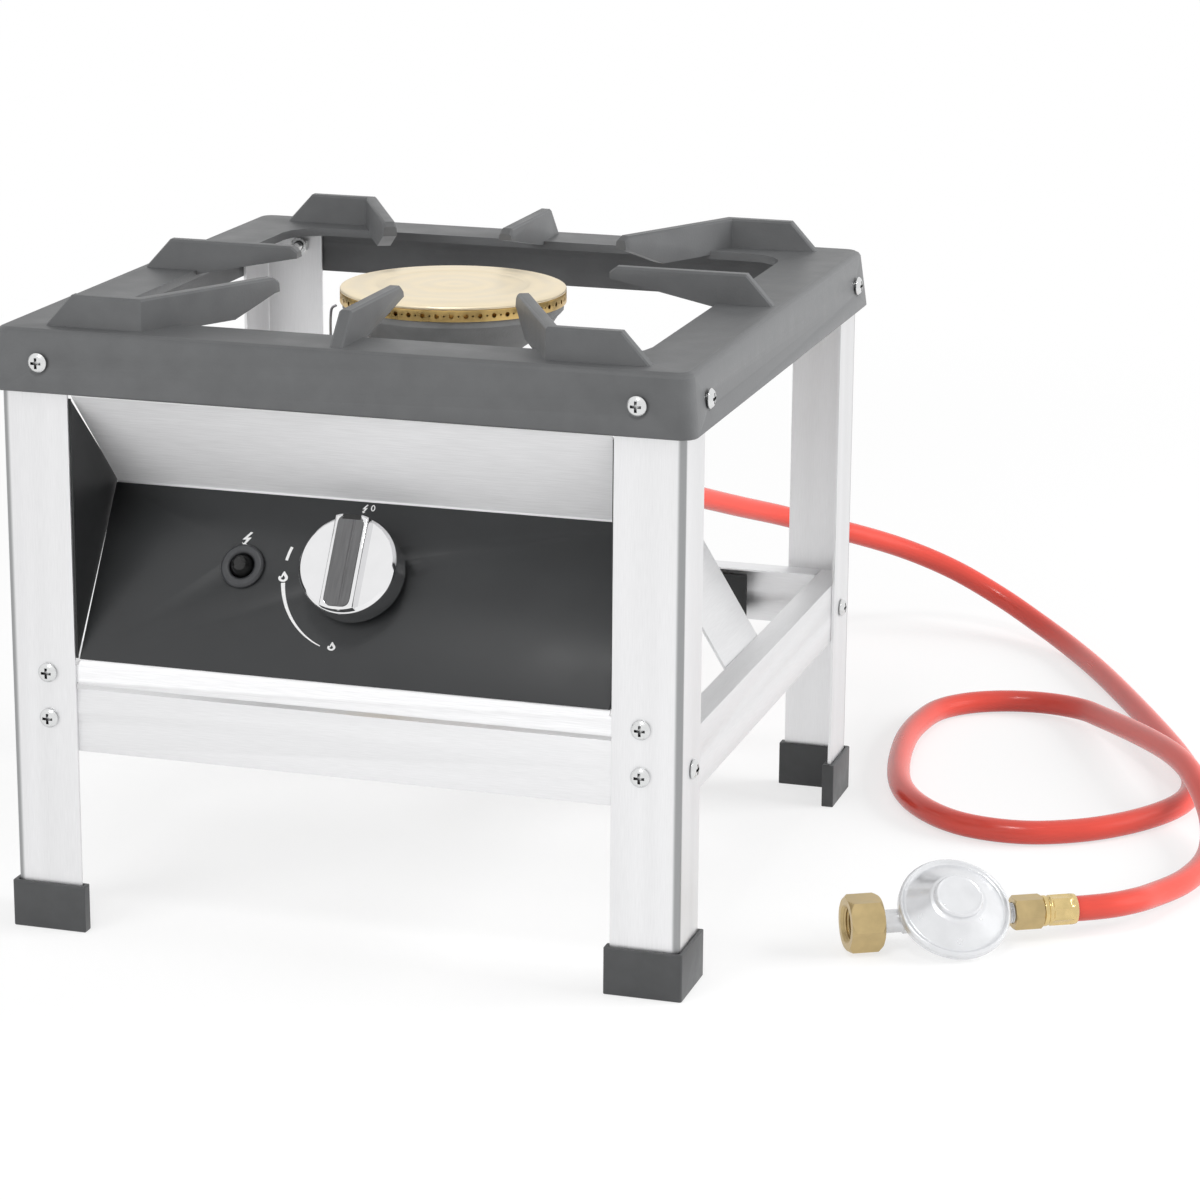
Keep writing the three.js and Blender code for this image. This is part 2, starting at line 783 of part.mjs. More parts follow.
function controlPanel() {
  const half = recessHalf - housingSideGap;
  const plate = box(-half, half, panelBottomGap, panelLength - panelTopGap, -panelSheet, 0);
  const knobHole = disc(stemRadius + stemHoleMargin, -5, 5, 16).translate(0, knobAxis, 0);
  const igniterHole = disc(igniterBarrel + clearance, -5, 5, 20).translate(igniterX, igniterAxis, 0);
  return cut(plate, knobHole, igniterHole);
}

function cheek(sign) {
  const back = apexY + cheekOverlap;
  const bottom = panelBottom + cheekBottomGap;
  const top = housingTopBend - cheekTopGap;
  const side = [[frontInner, bottom], [back, apexHeight], [frontInner, top]];
  const plate = prismAlongX(side, recessHalf, recessHalf + cheekSheet);
  const flange = box(recessHalf, recessHalf + cheekFlange, frontInner, frontInner + cheekSheet, bottom, top);
  const whole = joined(plate, flange);
  return sign > 0 ? whole : facingOut(whole.scale(-1, 1, 1));
}

add(range, 'control_housing', controlHousing(), stainless);
add(panelGroup, 'control_panel', controlPanel(), darkPanel);
add(range, 'cheek_left', cheek(-1), darkPanel);
add(range, 'cheek_right', cheek(1), darkPanel);

// ---------------------------------------------------------------- burner and its bridge

function burnerBridge() {
  const flangeUnder = railTop - railSheet;
  const footInner = halfWidth - railFace - railFlange - clearance;
  const shoulder = footInner - (bridgeTop - flangeUnder) / bridgeSlope;
  const footEnd = footInner + bridgeFoot;
  const half = [[shoulder, bridgeTop], [footInner, flangeUnder], [footEnd, flangeUnder]];
  const mirrored = half.map(([x, z]) => [-x, z]).reverse();
  const outline = foldedOutline([...mirrored, ...half].reverse(), bridgeSheet);
  return prismAlongY(outline, -bridgeWidth / 2, bridgeWidth / 2);
}

add(range, 'burner_bridge', burnerBridge(), stainless);

const capBottom = burnerTop - capThick;
const ringTop = capBottom;
const ringBottom = ringTop - ringHeight;
const bowlTop = ringBottom;
const bowlBottom = bowlTop - bowlDepth;
const portTurn = Math.PI / portCount;

function burnerBody() {
  const rim = burnerRadius - bowlRimInset;
  const seat = rim - bowlSeatWidth;
  const bellEnd = bellLength - venturiLength;
  const [shoulderIn, shoulderDrop] = bowlShoulder;
  const bowl = turned([
    [0, bowlBottom], [neckRadius + bowlFootReach, bowlBottom], [rim - shoulderIn, bowlTop - shoulderDrop],
    [rim - 3, bowlTop - 7], [rim, bowlTop - 4], [rim, bowlTop], [0, bowlTop],
  ], portCount).rotateZ(portTurn);
  const neck = disc(neckRadius, bridgeTop, bowlBottom + 2, 32);
  const footPlate = box(-burnerFoot / 2, burnerFoot / 2, -burnerFoot / 2, burnerFoot / 2,
    bridgeTop, bridgeTop + burnerFootThick);
  const tube = laidAlong('y', disc(venturiRadius, -venturiLength, 0, 28)).translate(0, 0, venturiHeight);
  const bell = laidAlong('y', turned([
    [0, -venturiLength], [bellRadius, -venturiLength], [bellRadius, bellEnd],
    [venturiRadius - 1, bellEnd + bellTaper], [0, bellEnd + bellTaper],
  ], 28)).translate(0, 0, venturiHeight);
  const bowlHollow = turned([
    [0, bowlBottom + bowlWall], [neckRadius + bowlFootReach - 8, bowlBottom + bowlWall],
    [seat - shoulderIn + 2, bowlTop - shoulderDrop + 3], [seat, bowlTop - 6], [seat, bowlTop + 1],
    [0, bowlTop + 1],
  ], portCount).rotateZ(portTurn);
  const riser = disc(neckBore, venturiHeight, bowlBottom + bowlWall + 1, 24);
  const bore = laidAlong('y', disc(neckBore, -venturiLength - 1, neckBore * 0.6, 24))
    .translate(0, 0, venturiHeight);
  return cut(joined(bowl, neck, footPlate, tube, bell), bowlHollow, riser, bore);
}

// The lip of the burner ring stands inside the bowl and keeps the ring on its centre.
function burnerRing() {
  const rim = burnerRadius;
  const lip = burnerRadius - bowlRimInset - bowlSeatWidth - clearance;
  const inside = lip - lipWidth;
  const ring = turned([
    [inside, ringBottom - lipDepth], [lip, ringBottom - lipDepth], [lip, ringBottom], [rim, ringBottom],
    [rim, ringTop], [rim - ringWall, ringTop], [rim - ringWall, ringTop - 2.5],
    [inside, ringBottom + 2], [inside, ringBottom - lipDepth],
  ], portCount).rotateZ(portTurn);
  const ports = [];
  for (let port = 0; port < portCount; port += 1) {
    const drill = laidAlong('x', disc(portRadius, rim - ringWall - 2, rim + 2, 4));
    drill.translate(0, 0, ringBottom + ringHeight / 2);
    ports.push(drill.rotateZ((2 * Math.PI * port) / portCount));
  }
  return cut(ring, ...ports);
}

function burnerCap() {
  const rim = burnerRadius;
  const lip = rim - ringWall - clearance;
  return turned([
    [0, capBottom - 1.5], [lip, capBottom - 1.5], [lip, capBottom], [rim, capBottom],
    [rim, burnerTop - 1.6], [rim - 2, burnerTop - 0.7], [rim - 12, burnerTop], [0, burnerTop],
  ], portCount).rotateZ(portTurn);
}

add(range, 'burner_body', burnerBody(), castIron);
add(range, 'burner_ring', burnerRing(), brass);
add(range, 'burner_cap', burnerCap(), capBrass);

// The air shutter turns on the bell of the mixing tube over two air windows.
function airShutter() {
  const inner = bellRadius + clearance;
  const outer = inner + shutterThick;
  const front = -venturiLength - shutterFront;
  const [tabWidth, tabLength, tabRise] = shutterTab;
  const [windowWidth, windowHeight] = airWindow;
  const windowTop = inner - airWindowInset;
  const sleeve = tubeProfile(outer, inner, front, front + shutterLength, 32);
  const face = tubeProfile(outer, injectorRadius + 4, front - shutterThick, front + 0.2, 32);
  const tab = box(-tabWidth / 2, tabWidth / 2, outer - 1, outer + tabRise, front, front + tabLength);
  const window = box(-windowWidth / 2, windowWidth / 2, windowTop - windowHeight, windowTop,
    front - 5, front + 1);
  const otherWindow = window.clone().rotateZ(Math.PI);
  const body = cut(joined(sleeve, face, tab), window, otherWindow);
  return laidAlong('y', body);
}

const shutterMesh = add(range, 'air_shutter', airShutter(), zincSteel);
shutterMesh.position.set(0, 0, venturiHeight);

// ---------------------------------------------------------------- valve, pipes and igniter

const injectorY = -venturiLength - nozzleGap - injectorRadius - 6;
const injectorFoot = venturiHeight - injectorBelow;

function injector() {
  const nozzleEnd = injectorRadius + nozzleReach;
  const block = disc(injectorRadius, injectorFoot, venturiHeight + injectorAbove, 16)
    .translate(0, injectorY, 0);
  const nozzle = laidAlong('y', disc(nozzleRadius, 0, nozzleEnd, 12)).translate(0, injectorY, venturiHeight);
  const jet = laidAlong('y', disc(jetRadius, 2, nozzleEnd + 2, 8)).translate(0, injectorY, venturiHeight);
  const bore = disc(injectorBore, injectorFoot - 1, venturiHeight + 3, 10).translate(0, injectorY, 0);
  return cut(joined(block, nozzle), bore, jet);
}

function gasValve() {
  const [wide, high, deep] = valveSize;
  const back = -valveDepth - deep / 2;
  const body = box(-wide / 2, wide / 2, knobAxis - high / 2, knobAxis + high / 2, back,
    -valveDepth + deep / 2);
  const collar = disc(valveCollar, -valveDepth, -sheetBehindPanel - housingSheet - clearance, 20)
    .translate(0, knobAxis, 0);
  const outlet = laidAlong('y', disc(valvePort, high / 2 - 2, high / 2 + valvePortLength, 12))
    .translate(0, knobAxis, -valveDepth);
  const inlet = laidAlong('x', disc(valvePort, wide / 2 - 2, wide / 2 + valvePortLength, 12))
    .translate(0, knobAxis, -valveDepth);
  const magnet = disc(magnetRadius, back - magnetLength, back + 2, 16)
    .translate(0, knobAxis - magnetDrop, 0);
  const stemBore = disc(stemRadius + clearance, -valveDepth - stemSocket, 0, 16)
    .translate(0, knobAxis, 0);
  return cut(joined(body, collar, outlet, inlet, magnet), stemBore);
}

const stemBottom = -valveDepth - stemSocket + pressTravel + 0.5;

function valveStem() {
  const top = stemBottom + stemLength;
  const round = disc(stemRadius, stemBottom, top, 16);
  const flat = box(-stemRadius, stemRadius, stemRadius - stemFlat, stemRadius + 1, 2, top + 1);
  return cut(round, flat).translate(0, knobAxis, 0);
}

function knob() {
  const rim = knobRadius;
  const shoulder = knobHeight - knobGripRise;
  const drum = turned([
    [0, knobGap], [rim, knobGap], [rim, shoulder - 2], [rim - 0.6, shoulder - 0.6],
    [rim - 2, shoulder], [0, shoulder],
  ], 48);
  const slab = box(-knobGripWidth / 2, knobGripWidth / 2, -rim, rim, shoulder - 3, knobHeight);
  const round = disc(rim, 0, knobHeight + 5, 48);
  const grip = geometryOf(solid(slab).intersect(solid(round)));
  const stemTop = stemBottom + stemLength;
  const bore = disc(stemRadius + clearance, 0, stemTop + clearance, 16);
  const seat = insertSlot(insertWidth + 2 * clearance, insertLength + 2 * clearance, knobHeight - insertThick,
    knobHeight + 2);
  return cut(joined(drum, grip), bore, seat);
}

function insertSlot(width, length, z0, z1) {
  const outline = roundedSquare(width / 2, length / 2, width / 4, 3);
  return prism(outline, z1 - z0).translate(0, 0, z0);
}

function knobInsert() {
  return insertSlot(insertWidth, insertLength, knobHeight - insertThick + clearance,
    knobHeight + clearance);
}

function igniterBody() {
  const top = igniterBezelHeight;
  return turned([
    [igniterBore, -igniterBarrelLength + 4], [igniterBore, top], [igniterBezel - 1.5, top],
    [igniterBezel, top - 1.2], [igniterBezel, clearance], [igniterBarrel, clearance],
    [igniterBarrel, -igniterBarrelLength], [0, -igniterBarrelLength],
    [0, -igniterBarrelLength + 4], [igniterBore, -igniterBarrelLength + 4],
  ], 24);
}

function igniterButton() {
  return turned([
    [0, -12], [buttonRadius, -12], [buttonRadius, 2], [buttonRadius - 0.6, 4],
    [4, buttonRise - 1], [2.5, buttonRise], [0, buttonRise],
  ], 20);
}

add(range, 'injector', injector(), brass);
add(panelGroup, 'gas_valve', gasValve(), brass);
add(panelGroup, 'valve_stem', valveStem(), zincSteel);
const knobMesh = add(panelGroup, 'knob', knob(), chrome);
knobMesh.position.set(0, knobAxis, 0);
const insertMesh = add(panelGroup, 'knob_insert', knobInsert(), greyInsert);
insertMesh.position.set(0, knobAxis, 0);
const igniterMesh = add(panelGroup, 'igniter_body', igniterBody(), glossBlack);
igniterMesh.position.set(igniterX, igniterAxis, 0);
const buttonMesh = add(panelGroup, 'igniter_button', igniterButton(), glossBlack);
buttonMesh.position.set(igniterX, igniterAxis, 0);

const outletUp = knobAxis + valveSize[1] / 2 + valvePortLength + clearance;
const burnerPipeRoute = [
  atPanel(0, outletUp, -valveDepth), atPanel(0, outletUp + 5, -valveDepth),
  [0, injectorY, injectorFoot - pipeStraight], [0, injectorY, injectorFoot - clearance],
];
add(range, 'burner_pipe', bar(burnerPipeRoute, pipeRadius, 10, 14), copper);

const bracketFace = halfDepth - railFace - railFlange - clearance - rearBracketSheet;
const inletNutStart = bracketFace + rearBracketSheet + clearance;
const inletFerruleStart = inletNutStart + inletNutLength + clearance;
const fittingStart = bracketFace - fittingHexLength;

const inletOut = valveSize[0] / 2 + valvePortLength + clearance;
const inletPipeRoute = [
  atPanel(inletOut, knobAxis, -valveDepth), atPanel(inletOut + 8, knobAxis, -valveDepth),
  atPanel(inletOut + 17, knobAxis + 5, -valveDepth - 12),
  [inletX + 22, frontInner + 118, inletHeight + 14], [inletX + 16, 0, inletHeight + 8],
  [inletX + 4, fittingStart - 74.7, inletHeight + 1], [inletX, fittingStart - 29.7, inletHeight],
  [inletX, fittingStart - clearance, inletHeight],
];
add(range, 'inlet_pipe', bar(inletPipeRoute, pipeRadius, 8, 26), copper);

function inletFitting() {
  const hexBody = laidAlong('y', hexagon(fittingFlats, fittingStart, bracketFace - clearance));
  const barrel = laidAlong('y', disc(fittingThread, bracketFace - 1, inletFerruleStart - 2, 16));
  const bore = laidAlong('y', disc(fittingBore, fittingStart + 4, inletFerruleStart, 10));
  return cut(joined(hexBody, barrel), bore).translate(inletX, 0, inletHeight);
}

// The bracket hangs behind the back rail's flange, and its arm holds the inlet fitting.
function rearBracket() {
  const face0 = bracketFace;
  const face1 = bracketFace + rearBracketSheet;
  const start = inletX - rearArmHalf;
  const plate = box(start, rearBracketEnd, face0, face1, railBottom + rearBracketMargin,
    railTop - rearBracketMargin);
  const arm = box(start, inletX + rearArmHalf, face0, face1, railTop - rearArmOverlap,
    inletHeight + rearArmAbove);
  const spacer = box(rearBracketEnd - rearSpacer[0], rearBracketEnd - rearSpacer[1], face1 - 0.5,
    halfDepth - railFace - railSheet, railBottom + rearSpacerMargin[0],
    railTop - railSheet - rearSpacerMargin[1]);
  const hole = laidAlong('y', disc(fittingThread + clearance, face0 - 5, face1 + 5, 20));
  hole.translate(inletX, 0, inletHeight);
  return cut(joined(plate, arm, spacer), hole);
}

add(range, 'inlet_fitting', inletFitting(), brass);
add(range, 'rear_bracket', rearBracket(), blackSteel);

// ---------------------------------------------------------------- flame sensor and spark

const pilotPlate = bridgeTop + pilotRise;
const [sensorX, sensorY] = aroundBurner(sensorTurn, pilotReach);
const [sparkX, sparkY] = aroundBurner(sparkTurn, pilotReach);

function aroundBurner(turn, reach) {
  return [reach * Math.cos(turn), reach * Math.sin(turn)];
}

function thermocouple() {
  const leadEnd = -valveDepth - valveSize[2] / 2 - magnetLength - clearance;
  const rod = turned([
    [0, pilotPlate - 10], [sensorRadius, pilotPlate - 10], [sensorRadius, ringBottom - 12],
    [sensorTip, ringBottom - 2], [0, ringBottom - 1],
  ], 10).translate(sensorX, sensorY, 0);
  const lead = bar([
    [sensorX, sensorY, pilotPlate - 8], [sensorX, sensorY, pilotPlate - 24],
    [sensorX + 6, sensorY - 16, pilotPlate - 50], [-24, apexY + 41, apexHeight - 43],
    atPanel(-5, knobAxis - magnetDrop, leadEnd - 15), atPanel(0, knobAxis - magnetDrop, leadEnd - 6),
    atPanel(0, knobAxis - magnetDrop, leadEnd),
  ], leadRadius, 6, 20);
  return joined(rod, lead);
}

function ignitionElectrode() {
  const insulator = turned([
    [0, pilotPlate - 16], [insulatorRadius, pilotPlate - 16], [insulatorRadius, pilotPlate + 8],
    [2, pilotPlate + 12], [0, pilotPlate + 12],
  ], 12).translate(sparkX, sparkY, 0);
  const [tipX, tipY] = aroundBurner(sparkTurn, burnerRadius + 2);
  const [bendX, bendY] = aroundBurner(sparkTurn, pilotReach - 1);
  const wire = bar([
    [sparkX, sparkY, pilotPlate + 10], [sparkX, sparkY, ringBottom - 9], [bendX, bendY, ringBottom - 4],
    [tipX, tipY, ringBottom - 2.5],
  ], wireRadius, 6, 12);
  return joined(insulator, wire);
}

// A small bent plate on the bridge carries the flame sensor and the spark electrode.
function pilotBracket() {
  const near = sparkY - pilotHalfDepth;
  const far = sparkY + pilotHalfDepth;
  const upright = sparkX + pilotHalfDepth;
  const plate = box(sparkX - pilotMargin, sensorX + pilotMargin, sensorY - pilotMargin, far,
    pilotPlate - pilotSheet, pilotPlate);
  const post = box(upright - pilotSheet, upright, near, far, bridgeTop, pilotPlate);
  const pad = box(upright - pilotSheet - pilotPad, upright, near, far, bridgeTop, bridgeTop + pilotSheet);
  const window = box(upright + 1, sensorX + 8, sensorY + 9, far + 1, pilotPlate - 5, pilotPlate + 5);
  const sensorHole = disc(sensorRadius + clearance, pilotPlate - 5, pilotPlate + 5, 16);
  const sparkHole = disc(insulatorRadius + clearance, pilotPlate - 5, pilotPlate + 5, 16);
  sensorHole.translate(sensorX, sensorY, 0);
  sparkHole.translate(sparkX, sparkY, 0);
  return cut(joined(plate, post, pad), window, sensorHole, sparkHole);
}

add(range, 'thermocouple', thermocouple(), copper);
add(range, 'ignition_electrode', ignitionElectrode(), ceramic);
add(range, 'pilot_bracket', pilotBracket(), zincSteel);

// ---------------------------------------------------------------- hose and regulator

add(range, 'gas_hose', bar(hoseRoute, hoseRadius, hoseSides, hoseSteps), hoseRubber);

function ferrule() {
  const pinched = ferruleRadius - crimpDepth;
  const edges = crimpEdges;
  return turned([
    [0, 0], [ferruleRadius, 0], [ferruleRadius, edges[0]], [pinched, edges[1]],
    [pinched, edges[2]], [ferruleRadius, edges[3]], [ferruleRadius, ferruleLength], [0, ferruleLength],
  ], 24);
}

function unionNut(length) {
  return hexagon(hoseNutFlats, 0, length, fittingThread + clearance);
}

const inletNutMesh = add(range, 'hose_inlet_nut', laidAlong('y', unionNut(inletNutLength)), brass);
inletNutMesh.position.set(inletX, inletNutStart, inletHeight);
const inletFerruleMesh = add(range, 'hose_inlet_ferrule', laidAlong('y', ferrule()), brass);
inletFerruleMesh.position.set(inletX, inletFerruleStart, inletHeight);

const regulatorGroup = new THREE.Group();
regulatorGroup.position.set(...regulatorPlace);
regulatorGroup.rotation.z = regulatorTurn;
range.add(regulatorGroup);
const tiltGroup = new THREE.Group();
tiltGroup.rotation.x = regulatorTilt;
regulatorGroup.add(tiltGroup);

function regulatorBody() {
  const rim = regulatorRim;
  const deck = regulatorDeck;
  const dish = turned([
    [0, -9], [13, -9], [rim - 5, deck - 5.6], [rim - 1, deck - 2], [rim, deck - 1.6], [rim, deck], [0, deck],
  ], 30);
  const inletNeck = laidAlong('x', disc(inletNeckRadius, cylinderNutPlace - 2, -18, 20));
  const nipple = laidAlong('x', disc(nippleRadius, cylinderNutPlace - nippleLength, cylinderNutPlace, 16));
  const stop = laidAlong('x', disc(neckStop, cylinderNutPlace - 7, cylinderNutPlace - 3, 20));
  const outletNeck = laidAlong('x', disc(outletNeckRadius, 18, outletNutPlace + outletNeckInside, 16));
  const boss = laidAlong('x', disc(7.8, -30, -18, 20));
  return joined(dish, inletNeck, nipple, stop, outletNeck, boss);
}

function regulatorCover() {
  const rim = regulatorRim;
  const seat = regulatorDeck + clearance;
  const cone = [[rim - 3.4, seat + 2.9], [rim - 9, seat + 5.7], [rim - 17.5, seat + 11.2]];
  return turned([
    [0, seat], [rim, seat], [rim, seat + 1.9], [rim - 1.2, seat + 2.9], ...cone,
    [13.8, seat + 12.7], [13.8, seat + 14.7], [12.8, seat + 15.5], [0, seat + 15.5],
  ], 30);
}

add(tiltGroup, 'regulator_body', regulatorBody(), zincSteel);
add(tiltGroup, 'regulator_cover', regulatorCover(), zincSteel);

// The union nut turns on the collar of the inlet neck; its socket faces the cylinder.
function cylinderNut() {
  const open = cylinderNutPlace - cylinderNutLength;
  const hexBody = hexagon(cylinderNutFlats, open, cylinderNutPlace);
  const socket = disc(cylinderNutBore, open - 1, cylinderNutPlace - 3 + clearance, 32);
  const throat = disc(inletNeckRadius + clearance, open, cylinderNutPlace + 1, 24);
  return laidAlong('x', cut(hexBody, socket, throat));
}

add(regulatorGroup, 'cylinder_nut', cylinderNut(), brass);

const outletNut = laidAlong('x', unionNut(hoseNutLength));
const outletNutMesh = add(regulatorGroup, 'hose_outlet_nut', outletNut, brass);
outletNutMesh.position.set(outletNutPlace, 0, 0);
const outletFerruleMesh = add(regulatorGroup, 'hose_outlet_ferrule', laidAlong('x', ferrule()), brass);
outletFerruleMesh.position.set(outletNutPlace + hoseNutLength + clearance, 0, 0);

// ---------------------------------------------------------------- screws

const screwsLeftOut = ['screw_rail_back_left_face', 'screw_rail_back_right_face'];

function screwBody() {
  const radius = screwHead / 2;
  const dome = turned([
    [0, -screwLength], [screwShank / 2, -screwLength], [screwShank / 2, clearance], [radius, clearance],
    [radius, screwHeadHeight * 0.45], [radius * 0.7, screwHeadHeight], [0, screwHeadHeight],
  ], 10);
  const low = screwHeadHeight - screwRecessDepth;
  const reach = screwRecess / 2;
  const half = screwRecessWidth / 2;
  const slot = box(-reach, reach, -half, half, low, screwHeadHeight + 1);
  const cross = box(-half, half, -reach, reach, low, screwHeadHeight + 1);
  return cut(dome, slot, cross);
}

const screwGeometry = screwBody();

for (const screw of screws.filter((s) => !screwsLeftOut.includes(s.name))) {
  const mesh = add(range, screw.name, screwGeometry, zincSteel);
  const out = screw.sign * screw.seat;
  const [x, y, z] = screw.at;
  if (screw.axis === 'x') {
    mesh.position.set(x + out, y, z);
    mesh.rotation.set(0, (screw.sign * Math.PI) / 2, 0);
  } else {
    mesh.position.set(x, y + out, z);
    mesh.rotation.set((-screw.sign * Math.PI) / 2, 0, 0);
  }
}

export default range;
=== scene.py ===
"""Looks of the stock pot range, built round its packed frame.

A square cast pot support stands on four folded steel legs, with one gas burner, a slanted
control panel, and a gas hose that ends in a cylinder regulator. Metres, +Z up, +Y to the back.
"""

import math
from typing import Callable, NamedTuple

import bmesh
import bpy
from mathutils import Matrix, Vector


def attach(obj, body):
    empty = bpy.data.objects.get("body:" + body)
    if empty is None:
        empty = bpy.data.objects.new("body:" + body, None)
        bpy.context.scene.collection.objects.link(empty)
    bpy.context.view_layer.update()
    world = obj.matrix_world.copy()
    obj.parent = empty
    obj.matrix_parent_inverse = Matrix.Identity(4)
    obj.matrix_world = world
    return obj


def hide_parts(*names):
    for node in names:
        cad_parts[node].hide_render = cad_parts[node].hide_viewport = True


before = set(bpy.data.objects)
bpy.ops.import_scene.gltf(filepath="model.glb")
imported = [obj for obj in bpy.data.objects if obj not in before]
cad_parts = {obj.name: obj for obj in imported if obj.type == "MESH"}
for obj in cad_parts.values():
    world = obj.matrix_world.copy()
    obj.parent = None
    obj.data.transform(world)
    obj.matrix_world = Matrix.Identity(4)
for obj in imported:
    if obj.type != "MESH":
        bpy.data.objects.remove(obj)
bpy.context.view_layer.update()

bl_info = {
    "name": "Stock pot range looks",
    "version": (1, 0, 0),
    "blender": (4, 5, 0),
    "location": "3D View > Sidebar > Pot range",
    "description": "Builds the finishes and fine pieces of a gas stock pot range",
    "category": "Object",
}

MM = 0.001
CLEARANCE = 0.3
WELD = 1e-6
FLAT_WITHIN = math.radians(0.5)
NUT_SPARE = 0.2
# A rounded corner takes up this share of a side at most.
CORNER_SHARE = 0.45

# Where the main groups stand, in millimetres and degrees. The panel rises 93 over a run of 59.
PANEL_FOOT = (0, -198, 164)
PANEL_SLOPE = math.atan2(93, 59)
KNOB_AXIS = 64
IGNITER_PLACE = (-70.5, 64)
REGULATOR_PLACE = (326.4, -66.6, 17.5)
REGULATOR_TURN = 28.9
REGULATOR_TILT = 38
INLET_END = (20, 182, 182)


def linear(hex_colour):
    """The linear colour of an sRGB hex value."""
    channels = [int(hex_colour[i:i + 2], 16) / 255 for i in (1, 3, 5)]
    return [c / 12.92 if c <= 0.04045 else ((c + 0.055) / 1.055) ** 2.4 for c in channels]


def mm(*values):
    """A point given in millimetres, in metres."""
    return Vector([value * MM for value in values])


def moved(*values):
    return Matrix.Translation(mm(*values))


def sizes(settings, *names):
    """Settings in millimetres."""
    return [getattr(settings, name) / MM for name in names]


def turned_by(degrees, axis):
    return Matrix.Rotation(math.radians(degrees), 4, axis)


def turns(count):
    """Even turns round a circle."""
    return [2 * math.pi * k / count for k in range(count)]


def shares(steps):
    """Even shares from 0 to 1."""
    return [step / steps for step in range(steps + 1)]


def polar(radius, turn):
    return radius * math.cos(turn), radius * math.sin(turn)


# A lathe's axis is Z; these lay it along X or along Y.
ALONG_X = turned_by(90, "Y")
ALONG_Y = turned_by(-90, "X")
PANEL = moved(*PANEL_FOOT) @ Matrix.Rotation(PANEL_SLOPE, 4, "X")
KNOB = PANEL @ moved(0, KNOB_AXIS, 0)
IGNITER = PANEL @ moved(*IGNITER_PLACE, 0)
REGULATOR = moved(*REGULATOR_PLACE) @ turned_by(REGULATOR_TURN, "Z")
REGULATOR_TILTED = REGULATOR @ turned_by(REGULATOR_TILT, "X")


# ---------------------------------------------------------------- settings


def colour_setting(name, description, hex_colour):
    return bpy.props.FloatVectorProperty(
        name=name, description=description, subtype="COLOR", size=3, min=0, max=1,
        default=linear(hex_colour))


def length_setting(name, description, millimetres):
    return bpy.props.FloatProperty(
        name=name, description=description, default=millimetres * MM, min=0,
        unit="LENGTH", subtype="DISTANCE", precision=4)


def angle_setting(name, description, degrees):
    return bpy.props.FloatProperty(
        name=name, description=description, subtype="ANGLE", default=math.radians(degrees))


def count_setting(name, description, count):
    return bpy.props.IntProperty(name=name, description=description, default=count, min=8)


class StageSettings(bpy.types.PropertyGroup):
    """Camera, lamps and floor."""

    camera_place: bpy.props.FloatVectorProperty(
        name="Camera place", description="Where the camera stands", size=3,
        subtype="TRANSLATION", unit="LENGTH", default=(0.71966, -2.078509, 0.765305))
    heading: angle_setting("Heading", "Camera's turn to the left of straight ahead", 16.786)
    pitch: angle_setting("Pitch", "How far the camera looks down", 15.336)
    roll: angle_setting("Roll", "How far the camera leans", 0.447)
    lens: bpy.props.FloatProperty(
        name="Lens", description="Focal length on a 36 mm sensor, in millimetres",
        default=112.3, min=1)
    floor_width: length_setting("Floor width", "Side of the square floor", 14000)


class CastingSettings(bpy.types.PropertyGroup):
    """The cast pot support."""

    colour: colour_setting("Colour", "Matt enamel on the iron", "#606162")
    edge: length_setting("Edge", "Width of the rounding along the cast edges", 1.2)


class FrameSettings(bpy.types.PropertyGroup):
    """Legs, rails, feet and the control housing."""

    steel: colour_setting("Steel", "Brushed stainless sheet", "#EFEFF0")
    foot: colour_setting("Feet", "Moulded plastic of the feet", "#424344")
    leg_width: length_setting("Leg width", "Flange width of a leg", 40)
    leg_sheet: length_setting("Leg sheet", "Sheet thickness of a leg", 2)
    fold: length_setting("Fold", "Outer radius of a leg's fold", 3)


class PanelSettings(bpy.types.PropertyGroup):
    """Control panel with its printed marks."""

    coat: colour_setting("Coat", "Satin powder coat of the panel", "#2F3031")
    mark: colour_setting("Marks", "Printed marks", "#E4E4E4")
    print_height: length_setting("Print height", "How far the ink stands proud", 0.06)


class KnobSettings(bpy.types.PropertyGroup):
    """Control knob and igniter."""

    radius: length_setting("Radius", "Radius of the drum", 29)
    height: length_setting("Height", "Height of the grip over the panel", 29)
    grip_width: length_setting("Grip width", "Width of the grip bar", 20)
    insert: colour_setting("Insert", "Grey strip in the grip", "#5A5A5B")


class BurnerSettings(bpy.types.PropertyGroup):
    """Burner ring and cap."""

    radius: length_setting("Radius", "Radius of the burner's rim", 67.5)
    ports: count_setting("Ports", "Large flame ports round the ring", 50)
    port: length_setting("Port", "Radius of a large flame port", 1.4)
    cross_port: length_setting("Small port", "Radius of the ports between them", 0.6)


class ScrewSettings(bpy.types.PropertyGroup):
    """Cross-head screws and their nuts."""

    head: length_setting("Head", "Diameter of a screw head", 11.4)
    rise: length_setting("Rise", "Height of a screw head", 3.4)
    shank: length_setting("Shank", "Diameter of a shank", 6)
    length: length_setting("Length", "Length of a shank", 16)


class HoseSettings(bpy.types.PropertyGroup):
    """The gas hose and its fittings."""

    diameter: length_setting("Diameter", "Outer diameter of the hose", 15)
    sides: count_setting("Sides", "Faces round the hose", 28)
    colour: colour_setting("Colour", "Colour of the hose's cover", "#D04538")


# ---------------------------------------------------------------- nodes


